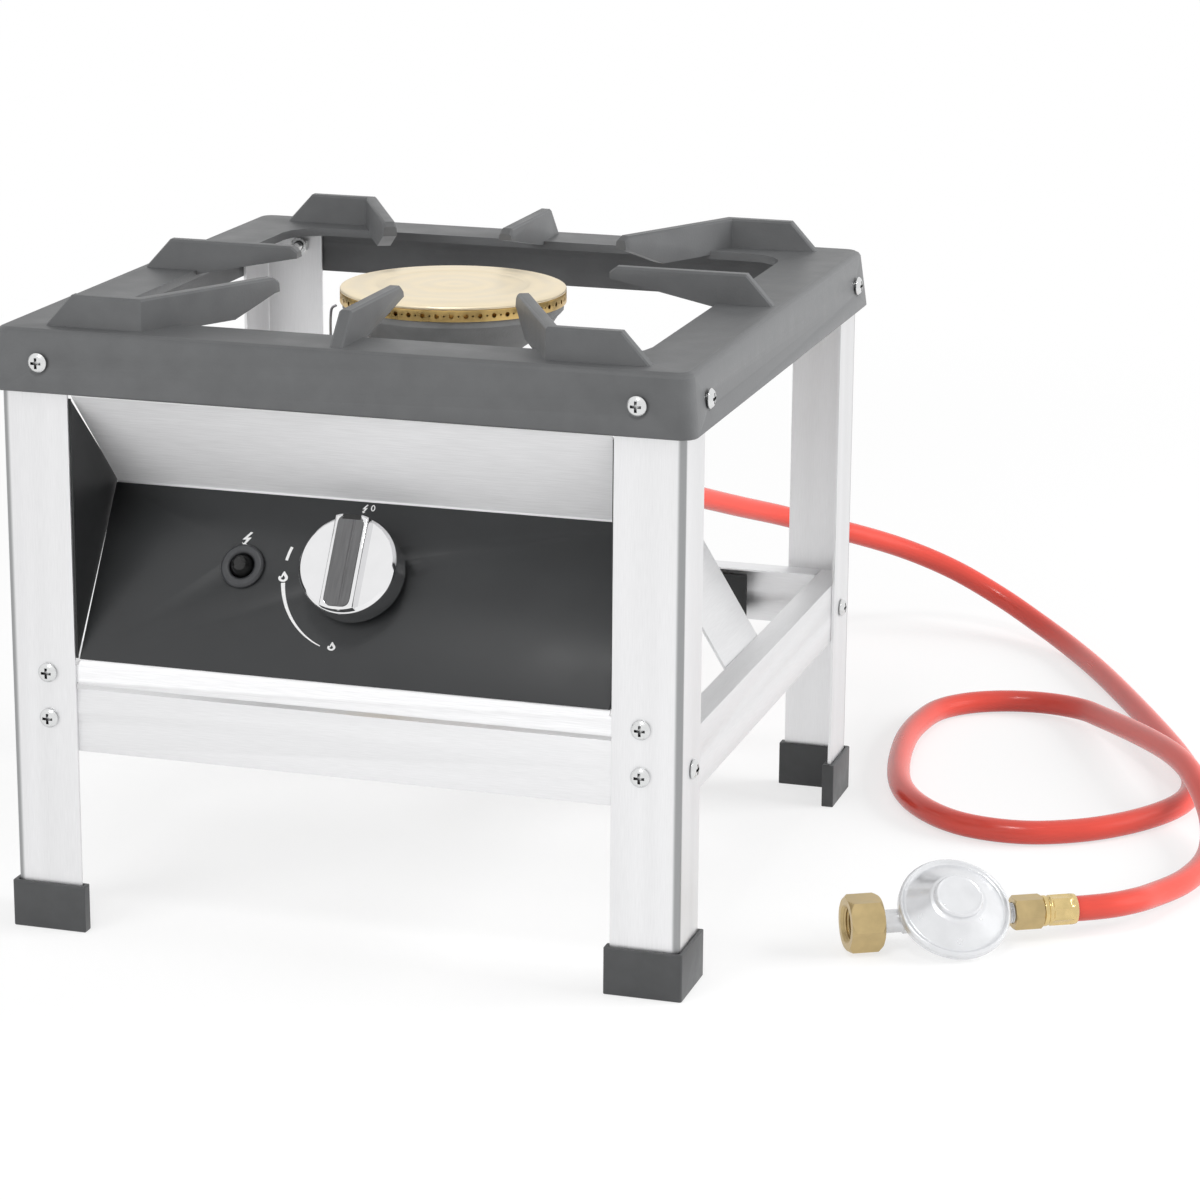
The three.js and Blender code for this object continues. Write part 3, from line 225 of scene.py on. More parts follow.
def add_node(tree, kind, inputs=None, **settings):
    """Adds a node and gives its outputs. An input is a value, a socket, or a list of sockets."""
    node = tree.nodes.new(kind)
    for name, value in settings.items():
        setattr(node, name, value)
    for name, value in (inputs or {}).items():
        sources = value if isinstance(value, list) else [value]
        if isinstance(sources[0], bpy.types.NodeSocket):
            for source in sources:
                tree.links.new(source, node.inputs[name])
        else:
            node.inputs[name].default_value = value
    return node.outputs


def node_tree(name, inputs):
    """A Geometry Nodes tree, and its named inputs as sockets."""
    tree = bpy.data.node_groups.new(name, "GeometryNodeTree")
    tree.interface.new_socket("Geometry", in_out="OUTPUT", socket_type="NodeSocketGeometry")
    for label, kind in {"Geometry": "Geometry", **inputs, "Material": "Material"}.items():
        tree.interface.new_socket(label, in_out="INPUT", socket_type="NodeSocket" + kind)
    return tree, add_node(tree, "NodeGroupInput")


def end_tree(tree, geometry, given):
    """Ends a tree with real geometry in the given material."""
    real = add_node(tree, "GeometryNodeRealizeInstances", {0: geometry})[0]
    coated = add_node(tree, "GeometryNodeSetMaterial",
                      {"Geometry": real, "Material": given["Material"]})[0]
    add_node(tree, "NodeGroupOutput", {0: coated})
    return tree


def grown(name, mesh, tree, values):
    """The plain mesh that a Geometry Nodes tree makes from a mesh and these input values."""
    seed = linked(name, mesh)
    modifier = seed.modifiers.new("nodes", "NODES")
    modifier.node_group = tree
    sockets = {item.name: item.identifier for item in tree.interface.items_tree
               if item.in_out == "INPUT"}
    for label, value in values.items():
        modifier[sockets[label]] = value
    made = plain_copy(seed)
    made.name = name
    bpy.data.objects.remove(seed)
    return made


# ---------------------------------------------------------------- finishes


class Pattern(NamedTuple):
    """A node whose values spread over a surface, by coordinates stretched along the axes."""

    kind: str
    inputs: dict
    stretch: tuple = (1, 1, 1)
    source: str = "Object"
    settings: dict = {}
    output: str = "Fac"


class Finish(NamedTuple):
    """Two tones spread by a pattern, with a relief.

    The colour is an sRGB hex value, a darker and a lighter one, or the setting that holds it,
    and the tones are its factors. The pattern may be two: (share of the second, first, second).
    The roughness may differ between the tones. The relief's depth is in millimetres, and shader
    holds the shader's other values.
    """

    slot: str
    colour: str | tuple
    tones: tuple
    pattern: tuple
    rough: float | tuple
    relief: Pattern = None
    depth: float = 0
    shader: dict = {}
    overlay: Callable = None


def blots(size, stretch=(1, 1, 1), detail=3.0, source="Object"):
    """The pattern of blots of this width in millimetres."""
    inputs = {"Scale": 1 / (size * MM), "Detail": detail}
    return Pattern("ShaderNodeTexNoise", inputs, stretch, source)


def drawn(tree, pattern):
    """The values of a pattern, or of a mix of two."""
    if not isinstance(pattern, Pattern):
        share, first, second = pattern
        return add_node(tree, "ShaderNodeMix",
                        {0: share, 2: drawn(tree, first), 3: drawn(tree, second)})[0]
    inputs = pattern.inputs
    if pattern.source:
        place = add_node(tree, "ShaderNodeTexCoord")[pattern.source]
        scaled = add_node(tree, "ShaderNodeMapping", {"Vector": place, "Scale": pattern.stretch})[0]
        inputs = {"Vector": scaled, **inputs}
    return add_node(tree, pattern.kind, inputs, **pattern.settings)[pattern.output]


def dull_fold(tree, flat):
    """Paints shade on the outside of a leg's fold: a darker strip along the rounded corner."""
    place = add_node(tree, "ShaderNodeTexCoord")["Object"]
    apart = add_node(tree, "ShaderNodeSeparateXYZ", {0: place})
    sides = [add_node(tree, "ShaderNodeMath", {0: apart[axis]}, operation="ABSOLUTE")[0]
             for axis in "XY"]
    reach = add_node(tree, "ShaderNodeMath", {0: sides[0], 1: sides[1]})[0]
    # The two distances from the middle add up to twice the half width only at the corner.
    bent = add_node(tree, "ShaderNodeMapRange",
                    {"Value": reach, "From Min": (2 * HALF_WIDTH - FOLD_START) * MM,
                     "From Max": (2 * HALF_WIDTH - FOLD_FULL) * MM},
                    interpolation_type="SMOOTHSTEP")[0]
    return add_node(tree, "ShaderNodeMix", {0: bent, 6: flat, 7: tone(DULL_STEEL, 1)},
                    data_type="RGBA")[2]


METAL = {"Metallic": 1}
# A noise's values lie mostly between these.
PATTERN_LOW, PATTERN_HIGH = 0.3, 0.7
# The painted shade on a leg's fold begins at the one distance before its corner and is full at the
# other, in millimetres.
FOLD_START, FOLD_FULL = 4.6, 2.4
# The colour of the painted shade on a leg's fold.
DULL_STEEL = "#A2A3A4"
# 0 in a recess of up to 3 mm and 1 in the open: the mask for painted shade in recesses.
HOLLOWS = Pattern("ShaderNodeAmbientOcclusion", {"Distance": 3 * MM}, source="", output="AO",
                  settings={"only_local": True, "samples": 4})
FACING_RINGS = Pattern(
    "ShaderNodeTexWave", {"Scale": 22, "Distortion": 2.5, "Detail": 3, "Detail Scale": 2},
    (1, 1, 0), settings={"wave_type": "RINGS", "rings_direction": "SPHERICAL"})
LATHE_LINES = Pattern("ShaderNodeTexWave", {"Scale": 100, "Distortion": 0.6, "Detail": 1},
                      settings={"bands_direction": "Z"})
STRIP_LINES = blots(1.2, (1, 1 / 14, 1 / 14), 2)
PICKLED_GRAIN = blots(0.6, (1 / 30, 1, 1), 2)
# U turns once round the hose and V runs in metres: the die's lines are 1.5 mm apart.
DIE_LINES = blots(1000, (32, 6, 1), 2, "UV")

FINISHES = {
    # Enamel fired on sand-cast iron is soft, a little pebbled and faintly blotched. Its sand
    # grains are 0.2 to 0.4 mm; they are drawn 1.4 mm wide so that they show.
    "matt enamel on cast iron": Finish(
        "enamel", "casting.colour", (0.93, 1.07), blots(18), (0.37, 0.47), blots(1.4, detail=2),
        0.09, {"Specular IOR Level": 0.2}),
    # Pickled sheet is pale and matt, with little mirror in it, and faintly brushed along X. The
    # grain's lines are 0.1 mm wide; they are drawn 0.6 mm wide.
    "pickled stainless sheet": Finish(
        "stainless", "frame.steel", (0.95, 1.06), PICKLED_GRAIN, (0.45, 0.56), PICKLED_GRAIN,
        0.01, {"Metallic": 0.2}),
    # Powder coat on steel is even and dark, with a slight orange peel.
    "satin powder coat": Finish(
        "panel", "panel.coat", (0.94, 1.06), blots(30), (0.37, 0.45), blots(1.6, detail=1), 0.02,
        {"Specular IOR Level": 0.35}),
    # Printed ink is flat and matt, and very slightly uneven.
    "screen-printing ink": Finish("panel", "panel.mark", (0.9, 1.02), blots(1), 0.6),
    # Moulded feet are black-grey and satin, with the mould's fine spark-eroded grain.
    "moulded polypropylene": Finish(
        "foot_plastic", "frame.foot", (0.92, 1.08), blots(9), (0.4, 0.5), blots(0.9, detail=1),
        0.03),
    # Polished moulding is deep and glossy, with slight flow marks.
    "polished black polyamide": Finish(
        "black_gloss", "#151515", (0.85, 1.2), blots(5), (0.16, 0.26), blots(4, detail=1), 0.01),
    # The igniter's bezel is moulded satin, with a fine grain.
    "satin black polyamide": Finish(
        "black_gloss", "#37383A", (0.9, 1.1), blots(4), (0.32, 0.42), blots(0.7, detail=1), 0.02),
    # Chrome plated on moulded plastic is a mirror with a barely wavy skin.
    "chrome plate on plastic": Finish(
        "knob_chrome", "#EAEAEB", (0.98, 1.02), blots(12), (0.05, 0.09), blots(9, detail=1), 0.01,
        METAL),
    # The knob's strip has drawn lines along its length.
    "grey moulded strip": Finish(
        "insert_grey", "knob.insert", (0.88, 1.16), STRIP_LINES, (0.28, 0.4), STRIP_LINES, 0.03),
    # Heat-proof paint on sand-cast iron is dull and grainy.
    "painted cast iron": Finish(
        "burner_iron", "#787979", (0.86, 1.1), blots(11), (0.55, 0.7), blots(1.2), 0.14),
    # Turned brass is warm and a little tarnished. The cutter's feed is about 0.2 mm; its marks
    # are drawn 0.8 mm apart.
    "turned brass": Finish(
        "brass", "#D8B878", (0.84, 1.1), blots(7), (0.26, 0.4), LATHE_LINES, 0.02, METAL),
    # Machined hexagons have plain flats, lightly tarnished.
    "machined brass": Finish(
        "brass", "#C4AE80", (0.88, 1.06), blots(9), (0.28, 0.42), blots(2.2), 0.03, METAL),
    # The crimped ferrules' thin drawn brass is yellower and brighter than the nuts.
    "drawn brass": Finish(
        "brass", "#DAC28A", (0.92, 1.08), blots(5), (0.2, 0.3), blots(1.6), 0.006, METAL),
    # The cap's facing cut leaves bright rings. Its feed is about 0.3 mm; the rings are drawn
    # 2.2 mm apart.
    "facing-turned pale brass": Finish(
        "cap_brass", "#EFE1C4", (0.95, 1.03), (0.3, blots(16), FACING_RINGS), (0.34, 0.44),
        FACING_RINGS, 0.008, METAL),
    # Tumbled zinc die casting is silver, slightly clouded, with a soft skin.
    "zinc die casting": Finish(
        "plated", "#DEDFE1", (0.96, 1.04), blots(12), (0.2, 0.28), blots(3), 0.004,
        {"Metallic": 0.65}),
    # Zinc on pressed steel is bright; the recess of a screw head is painted dark as shade.
    "bright zinc plate": Finish(
        "plated", ("#26272A", "#DEDFDF"), (1, 1), HOLLOWS, 0.26, blots(2.5), 0.02, METAL),
    # Stove paint on pressed steel is dull, with a dry fine grain.
    "black painted steel": Finish(
        "black_steel", "#2B2C2D", (0.85, 1.15), blots(10), (0.5, 0.62), blots(0.8), 0.03),
    # Drawn copper is warm, with a brown bloom where it has been handled.
    "drawn copper": Finish(
        "pipe_metal", "#B8764E", (0.72, 1.1), blots(14), (0.26, 0.42), blots(3), 0.01, METAL),
    # The spark tip's drawn nickel is grey, blued a little by heat.
    "drawn nickel wire": Finish(
        "plated", ("#8C8B90", "#B5B3B0"), (1, 1), blots(4), 0.35, shader=METAL),
    # Glazed alumina is cream white and glossy, with a few grey specks.
    "glazed ceramic": Finish(
        "ceramic", "#E8E2D6", (0.9, 1.02), blots(1.5), 0.18, blots(3), 0.01, {"IOR": 1.6}),
    # Extruded rubber is glossy, with faint lines along it from the die and a wiped bloom.
    "extruded rubber": Finish(
        "hose", "hose.colour", (0.93, 1.07), (0.35, blots(40), DIE_LINES), (0.2, 0.28),
        DIE_LINES, 0.03),
}
# Brushed sheet is bright, with fine lines along its grain and broad soft bands, a painted
# reflection of the studio. The lines are 0.1 mm wide; they are drawn 0.5 mm wide and 25 times as
# long. Only legs run along Z.
for axis in "XYZ":
    along = [1 / 25 if letter == axis else 1 for letter in "XYZ"]
    FINISHES["brushed stainless steel along " + axis] = Finish(
        "stainless", "frame.steel", (0.93, 1.05),
        # The 14 mm blots draw the broad bands of painted reflection.
        (0.5, blots(0.5, along, 2), blots(14, along, 1)), (0.42, 0.54), blots(0.5, along, 2),
        # Legs, which run along Z, get painted shade on their folds.
        0.012, METAL, dull_fold if axis == "Z" else None)


def shade(colour, factor):
    """A linear colour made lighter or darker, with its alpha."""
    return (*[min(channel * factor, 1) for channel in colour], 1)


def tone(colour, factor):
    """A tone of an sRGB hex value, or of the setting with this name."""
    if colour.startswith("#"):
        return shade(linear(colour), factor)
    group, setting = colour.split(".")
    return shade(getattr(getattr(bpy.context.scene, "pot_range_" + group), setting), factor)


def surface(name):
    """The material of this finish, made when it is first asked for."""
    if name in bpy.data.materials:
        return bpy.data.materials[name]
    finish = FINISHES[name]
    material = bpy.data.materials.new(name)
    material.use_nodes = True
    tree = material.node_tree
    shader = tree.nodes["Principled BSDF"].inputs
    for socket, value in finish.shader.items():
        shader[socket].default_value = value
    spread = {"Value": drawn(tree, finish.pattern), "From Min": PATTERN_LOW,
              "From Max": PATTERN_HIGH}
    share = add_node(tree, "ShaderNodeMapRange", spread)[0]
    pair = finish.colour if isinstance(finish.colour, tuple) else (finish.colour, finish.colour)
    dark, light = map(tone, pair, finish.tones)
    colour = add_node(tree, "ShaderNodeMix", {0: share, 6: dark, 7: light}, data_type="RGBA")[2]
    if finish.overlay:
        colour = finish.overlay(tree, colour)
    tree.links.new(colour, shader["Base Color"])
    if finish.relief:
        bump = add_node(tree, "ShaderNodeBump",
                        {"Height": drawn(tree, finish.relief), "Distance": finish.depth * MM})[0]
        tree.links.new(bump, shader["Normal"])
    if isinstance(finish.rough, tuple):
        low, high = finish.rough
        rough = add_node(tree, "ShaderNodeMapRange", {**spread, "To Min": low, "To Max": high})[0]
        tree.links.new(rough, shader["Roughness"])
    else:
        shader["Roughness"].default_value = finish.rough
    return material


# ---------------------------------------------------------------- meshes


def linked(name, data):
    """A new object in the scene."""
    made = bpy.data.objects.new(name, data)
    bpy.context.scene.collection.objects.link(made)
    return made


def plain_copy(source):
    """The mesh that an object's modifiers make."""
    graph = bpy.context.evaluated_depsgraph_get()
    return bpy.data.meshes.new_from_object(source.evaluated_get(graph))


def mesh_from(name, work):
    mesh = bpy.data.meshes.new(name)
    bmesh.ops.recalc_face_normals(work, faces=work.faces)
    work.to_mesh(mesh)
    work.free()
    return mesh


def smoothed(mesh, sharp):
    """Smooth shading, apart from the edges that turn by more than an angle."""
    mesh.shade_smooth()
    mesh.set_sharp_from_angle(angle=math.radians(sharp))


def shown(name, shape, finish, stands_for=(), body="frame", edge=0, steps=2, sharp=32):
    """A shown piece made of a mesh or a bmesh, riding on a CAD body.

    An edge width in millimetres rounds every edge that turns by more than the sharp angle."""
    mesh = shape if isinstance(shape, bpy.types.Mesh) else mesh_from(name, shape)
    piece = linked(name, mesh)
    mesh.materials.clear()
    mesh.materials.append(surface(finish))
    if edge:
        mesh.shade_smooth()
        rounding = piece.modifiers.new("rounded edges", "BEVEL")
        rounding.width = edge * MM
        rounding.segments = steps
        rounding.limit_method = "ANGLE"
        rounding.angle_limit = math.radians(sharp)
        rounding.harden_normals = True
    else:
        smoothed(mesh, sharp)
    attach(piece, body)
    if stands_for:
        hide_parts(*stands_for)
    return piece


def refined(node, finish, body="frame", edge=0.4, **rounding):
    """The CAD node with its triangles joined into whole faces, and its edges rounded."""
    work = bmesh.new()
    work.from_mesh(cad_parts[node].data)
    bmesh.ops.remove_doubles(work, verts=work.verts, dist=WELD)
    bmesh.ops.dissolve_limit(work, angle_limit=FLAT_WITHIN, verts=work.verts, edges=work.edges)
    return shown(node + "_finished", work, finish, [node], body, edge, **rounding)


def eased(points, reach, steps=4, closed=False):
    """The same line with each corner rounded over this reach to either side, in millimetres."""
    points = [Vector(point) for point in points]
    count = len(points)
    made = []
    for i, corner in enumerate(points):
        if not closed and i in (0, count - 1):
            made.append(corner)
            continue
        before, after = points[i - 1] - corner, points[(i + 1) % count] - corner
        span = min(reach, before.length * CORNER_SHARE, after.length * CORNER_SHARE)
        start = corner + before.normalized() * span
        end = corner + after.normalized() * span
        for t in shares(steps):
            made.append(start * (1 - t) ** 2 + corner * 2 * t * (1 - t) + end * t ** 2)
    return made


def bridged(work, rings):
    """Faces from each ring of points to the next, where one point is a ring's pole."""
    faces = []
    for low, high in zip(rings, rings[1:]):
        count = max(len(low), len(high))
        for k in range(count):
            n = (k + 1) % count
            corners = dict.fromkeys((low[k % len(low)], low[n % len(low)], high[n % len(high)],
                                     high[k % len(high)]))
            if len(corners) > 2:
                faces.append(work.faces.new(corners))
    return faces


def turned(profile, place=Matrix(), sides=72):
    """A solid of revolution round the Z of a place, from a (radius, height) line in mm.

    An open line is closed at the axis."""
    if profile[0] != profile[-1]:
        profile = [(0, profile[0][1]), *profile, (0, profile[-1][1])]
    work = bmesh.new()
    bridged(work, [[work.verts.new(mm(*polar(radius, turn), height))
                    for turn in (turns(sides) if radius else [0])]
                   for radius, height in profile])
    bmesh.ops.remove_doubles(work, verts=work.verts, dist=WELD)
    bmesh.ops.recalc_face_normals(work, faces=work.faces)
    work.transform(place)
    return work


def thickened(work, faces, height):
    """Flat faces made a closed body of this height in millimetres."""
    made = bmesh.ops.extrude_face_region(work, geom=faces, use_keep_orig=True)
    tops = [item for item in made["geom"] if isinstance(item, bmesh.types.BMVert)]
    bmesh.ops.translate(work, verts=tops, vec=mm(0, 0, height))
    bmesh.ops.recalc_face_normals(work, faces=work.faces)


def capped(work, rings):
    """Bridges rings of as many points, closes both ends, and gives the faces between."""
    faces = bridged(work, rings)
    work.faces.new(reversed(rings[0]))
    work.faces.new(rings[-1])
    return faces


def lofted(levels):
    """A body through level outlines, given as (outline, height) in mm."""
    work = bmesh.new()
    capped(work, [[work.verts.new(mm(x, y, height)) for x, y in outline]
                  for outline, height in levels])
    return work


def prism(outline, low, high, place=Matrix()):
    """An outline in millimetres, extruded from one height to another."""
    work = lofted([(outline, low), (outline, high)])
    work.transform(place)
    return work


def carved(work, tools, operation="DIFFERENCE"):
    """A body with others cut from it, or joined to it."""
    body = linked("carving", mesh_from("carving", work))
    used = [body]
    for tool in tools:
        cut = body.modifiers.new("cut", "BOOLEAN")
        cut.operation = operation
        cut.solver = "EXACT"
        cut.object = linked("cutter", mesh_from("cutter", tool))
        used.append(cut.object)
    result = plain_copy(body)
    for item in used:
        bpy.data.objects.remove(item)
    work = bmesh.new()
    work.from_mesh(result)
    bmesh.ops.remove_doubles(work, verts=work.verts, dist=WELD)
    return work


def hexagon_nut(flats, low, high, bore, chamfer, place=Matrix()):
    """A hexagon with its corners turned back at both ends, and a bore of the given line."""
    corner = flats / math.sqrt(3)
    rim, reach = flats / 2 + NUT_SPARE, corner + NUT_SPARE
    shape = turned([(rim, low), (reach, low + chamfer), (reach, high - chamfer), (rim, high)])
    hexagon = [polar(corner, math.radians(30) + turn) for turn in turns(6)]
    body = carved(carved(prism(hexagon, low, high), [shape], "INTERSECT"), [turned(bore)])
    body.transform(place)
    return body


def thread(radius, depth, pitch, start, end):
    """A line of ridges along a threaded bore or shank."""
    line = []
    count = round(abs(end - start) / pitch)
    step = (end - start) / count
    for k in range(count):
        line += [(radius, start + k * step), (radius - depth, start + (k + 0.5) * step)]
    return line


def smooth_route(points, steps):
    """Points along a centripetal Catmull-Rom curve through the given ones."""
    ends = [points[0] * 2 - points[1], *points, points[-1] * 2 - points[-2]]
    made = []
    for i in range(1, len(ends) - 2):
        p = ends[i - 1:i + 3]
        t = [0.0]
        for a, b in zip(p, p[1:]):
            t.append(t[-1] + math.sqrt((b - a).length))
        for step in range(steps):
            x = t[1] + (t[2] - t[1]) * step / steps
            a = [p[k].lerp(p[k + 1], (x - t[k]) / (t[k + 1] - t[k])) for k in range(3)]
            b = [a[k].lerp(a[k + 1], (x - t[k]) / (t[k + 2] - t[k])) for k in range(2)]
            made.append(b[0].lerp(b[1], (x - t[1]) / (t[2] - t[1])))
    return [*made, points[-1]]


def tube_along(route, radius, sides):
    """A closed round tube along a route, with its rings carried along without twist.

    Its UV map holds the turn round the tube and the distance along it, in metres."""
    work = bmesh.new()
    along = work.loops.layers.uv.new("along")
    upright = abs((route[1] - route[0]).normalized().z) > 0.9
    side = Vector((1, 0, 0)) if upright else Vector((0, 0, 1))
    rings, distances = [], [0.0]
    for i, point in enumerate(route):
        forward = (route[min(i + 1, len(route) - 1)] - route[max(i - 1, 0)]).normalized()
        side = (side - forward * side.dot(forward)).normalized()
        other = forward.cross(side)
        rings.append([
            work.verts.new(point + (side * math.cos(turn) + other * math.sin(turn)) * radius)
            for turn in turns(sides)])
        if i:
            distances.append(distances[-1] + (point - route[i - 1]).length)
    for index, face in enumerate(capped(work, rings)):
        i, k = divmod(index, sides)
        for loop, (turn, ring) in zip(face.loops, ((k, i), (k + 1, i), (k + 1, i + 1), (k, i + 1))):
            loop[along].uv = (turn / sides, distances[ring])
    return work


# ---------------------------------------------------------------- gas hose

# The hose's route in millimetres, from the inlet behind the range to the regulator.
HOSE_ROUTE = (
    (20, 218.1, 182), (20, 237, 182), (21, 264, 179.5), (26, 308, 169.5), (40, 385, 142.5),
    (60, 448, 120.5), (84, 500, 102), (152, 580, 65), (190, 597, 46.5), (227, 597, 28),
    (260, 580, 14.5), (289, 547, 8.4), (328, 476, 7.8), (406, 304, 7.8), (420, 256, 7.8),
    (419, 214, 7.8), (401, 175, 7.8), (369, 141, 7.8), (332, 124, 7.8), (294, 128, 7.8),
    (263, 152, 7.8), (239, 195, 7.8), (221.4, 290, 7.8), (223, 342.2, 7.8), (229.8, 368.4, 7.8),
    (247, 389.3, 7.8), (271.4, 400.9, 8), (298.5, 401.1, 8.8), (323.1, 389.9, 10.2),
    (339.6, 371.2, 12), (407, 256, 26), (429, 208, 24), (445, 160, 15), (450, 112, 9),
    (443.5, 60, 9.8), (429.5, 16.4, 13.6), (422.6, -2.4, 16.2), (411.9, -16.6, 17.2),
    (397.7, -27.3, 17.5), (392.4, -30.2, 17.5),
)
ROUTE_STEPS = 12
HOSE_NUT_FLATS = 18
INLET_NUT = 15
OUTLET_NUT = 17.5
OUTLET_START = 36.8
THREAD_RADIUS = 6
FERRULE_RADIUS = 9
FERRULE_LENGTH = 20.5
JAWS = 8
JAW_DEPTH = 1.4
JAW_START = 5
JAW_END = 17.5
JAW_EASE = 1.2


def ferrule(place):
    """A brass sleeve, crimped by jaws round its middle."""
    radius, length = FERRULE_RADIUS, FERRULE_LENGTH
    line = eased([(radius - 0.5, 0), (radius, 0.5), (radius, 2.5), (radius - 0.7, 3.2),
                  (radius - 0.7, 3.6), (radius, 4.3), (radius, 5.5), (radius, 16),
                  (radius, length - 2), (radius - 0.2, length - 0.3), (radius - 0.9, length)],
                 0.4, 2)
    work = turned(line, sides=96)
    for vert in work.verts:
        height = vert.co.z / MM
        reach = math.hypot(vert.co.x, vert.co.y) / MM
        if reach > THREAD_RADIUS and JAW_START < height < JAW_END:
            jaw = abs(math.cos(math.atan2(vert.co.y, vert.co.x) * JAWS / 2)) ** 0.5
            fall = min(1, (height - JAW_START) / JAW_EASE, (JAW_END - height) / JAW_EASE)
            vert.co.xy *= 1 - JAW_DEPTH * jaw * fall / reach
    work.transform(place)
    return work


class RANGE_OT_hose(bpy.types.Operator):
    """Builds the gas hose along its route, with the nut and ferrule at each end"""

    bl_idname = "pot_range.hose"
    bl_label = "Gas hose"

    def execute(self, context):
        settings = context.scene.pot_range_hose
        route = smooth_route([mm(*point) for point in HOSE_ROUTE], ROUTE_STEPS)
        hose = shown("gas_hose_tube", tube_along(route, settings.diameter / 2, settings.sides),
                     "extruded rubber", ["gas_hose"], sharp=50)
        # Brushed steel would spread the hose's image into a pink haze, so it mirrors none of it.
        hose.visible_glossy = False
        self.add_end("hose_inlet", INLET_NUT, moved(*INLET_END) @ ALONG_Y)
        outlet = self.add_end("hose_outlet", OUTLET_NUT,
                              REGULATOR @ moved(OUTLET_START, 0, 0) @ ALONG_X)
        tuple(route[0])
        return {"FINISHED"}

    def add_end(self, name, nut_length, place):
        """A union nut with the ferrule behind it, as two pieces."""
        bore = THREAD_RADIUS + CLEARANCE
        nut = hexagon_nut(HOSE_NUT_FLATS, 0, nut_length, [(bore, -1), (bore, nut_length + 1)], 1.2,
                          place)
        return (shown(name + "_union_nut", nut, "machined brass", [name + "_nut"], edge=0.35),
                shown(name + "_crimped_ferrule",
                      ferrule(place @ moved(0, 0, nut_length + CLEARANCE)), "drawn brass",
                      [name + "_ferrule"]))


# ---------------------------------------------------------------- regulator

REGULATOR_RIM = 33
REGULATOR_DECK = 8
NUT_FLATS = 30
NUT_START = -63.3
NUT_END = -43.3
NECK_RADIUS = 6.8


class RANGE_OT_regulator(bpy.types.Operator):
    """Builds the regulator's die-cast body and cover, and the cylinder nut"""

    bl_idname = "pot_range.regulator"
    bl_label = "Regulator"

    def execute(self, context):
        rim, deck, neck = REGULATOR_RIM, REGULATOR_DECK, NECK_RADIUS
        dish = turned(eased([(0, -9), (13, -9), (rim - 5, deck - 5.6), (rim - 1, deck - 2),
                             (rim, deck - 1.6), (rim, deck), (0, deck)], 1.2), sides=96)
        nipple = turned(eased([(3.4, -57.3), (4, -56.4), (4, -51), (8.6, -50.3), (8.6, -46.3),
                               (neck, -46), (neck, -30.4), (7.8, -29.6), (7.8, -14)], 0.4),
                        ALONG_X, 48)
        outlet = turned([(6, 15), (6, 26), *thread(6, 0.5, 1.25, 26, 42), (5.4, 44.8)],
                        ALONG_X, 48)
        mouth = turned([(1.7, -60), (1.7, -48)], ALONG_X, 24)
        body = carved(carved(dish, [nipple, outlet], "UNION"), [mouth])
        body.transform(REGULATOR_TILTED)
        shown("regulator_casting", body, "zinc die casting", ["regulator_body"])
        seat = deck + CLEARANCE
        line = [(rim, seat), (rim, seat + 2.2), (rim - 1.5, seat + 3.6), (rim - 3, seat + 2.4),
                (rim - 4, seat + 2), (rim - 9, seat + 5.7), (rim - 16.5, seat + 11.4),
                (14.6, seat + 11.8), (14.2, seat + 12.4), (14.2, seat + 14.4), (13.2, seat + 15.5),
                (12, seat + 15), (0, seat + 15)]
        cover = turned(eased(line, 0.8, 5), REGULATOR_TILTED, 96)
        shown("regulator_lid", cover, "zinc die casting", ["regulator_cover"], sharp=40)
        bore = neck + CLEARANCE
        socket = [(11.4, NUT_START - 1), (11.4, NUT_START), (9.9, NUT_START + 1.4),
                  *thread(9.9, 0.8, 1.8, NUT_START + 1.6, NUT_END - 3.2),
                  (9.3, NUT_END - 2.7), (bore, NUT_END - 2.7), (bore, NUT_END + 1)]
        nut = hexagon_nut(NUT_FLATS, NUT_START, NUT_END, socket, 2.6, REGULATOR @ ALONG_X)
        shown("cylinder_union_nut", nut, "machined brass", ["cylinder_nut"], "cylinder_nut",
              edge=0.6, steps=3)
        return {"FINISHED"}


# ---------------------------------------------------------------- frame

LEG_LOW = 3
LEG_HIGH = 351
HALF_WIDTH = 200


class RANGE_OT_casting(bpy.types.Operator):
    """Builds the cast pot support"""

    bl_idname = "pot_range.casting"
    bl_label = "Pot support"

    def execute(self, context):
        edge = context.scene.pot_range_casting.edge / MM
        refined("grate_casting", "matt enamel on cast iron", edge=edge, steps=3, sharp=24)
        return {"FINISHED"}


def leg_outline(sign_x, sign_y, settings):
    """The folded angle of a leg, seen from above."""
    half = HALF_WIDTH
    width, sheet, fold = sizes(settings, "leg_width", "leg_sheet", "fold")
    outer, inner = (
        [(half - fold + x, half - fold + y)
         for x, y in (polar(radius, share * math.pi / 2) for share in way)]
        for radius, way in ((fold, reversed(shares(8))), (fold - sheet, shares(4))))
    outline = [(half - width, half), *outer, (half, half - width), (half - sheet, half - width),
               *inner, (half - width, half - sheet)]
    return [(sign_x * x, sign_y * y) for x, y in outline]


class RANGE_OT_frame(bpy.types.Operator):
    """Builds the legs, the feet, the rails, the housing and the burner's bridge"""

    bl_idname = "pot_range.frame"
    bl_label = "Frame"

    def execute(self, context):
        settings = context.scene.pot_range_frame
        brushed = "brushed stainless steel along "
        for end, sign_y in (("front", -1), ("back", 1)):
            for side, sign_x in (("left", -1), ("right", 1)):
                name = f"leg_{end}_{side}"
                leg = prism(leg_outline(sign_x, sign_y, settings), LEG_LOW, LEG_HIGH)
                shown(name + "_folded", leg, brushed + "Z", [name], edge=0.3)
                refined(f"foot_{end}_{side}", "moulded polypropylene", edge=0.7, steps=3)
        for side, grain in (("front", "X"), ("back", "X"), ("left", "Y"), ("right", "Y")):
            refined("rail_" + side, brushed + grain, edge=0.5)
        refined("control_housing", "pickled stainless sheet", edge=0.5)
        refined("burner_bridge", brushed + "Y", edge=0.6)
        refined("rear_bracket", "black painted steel", edge=0.4)
        return {"FINISHED"}


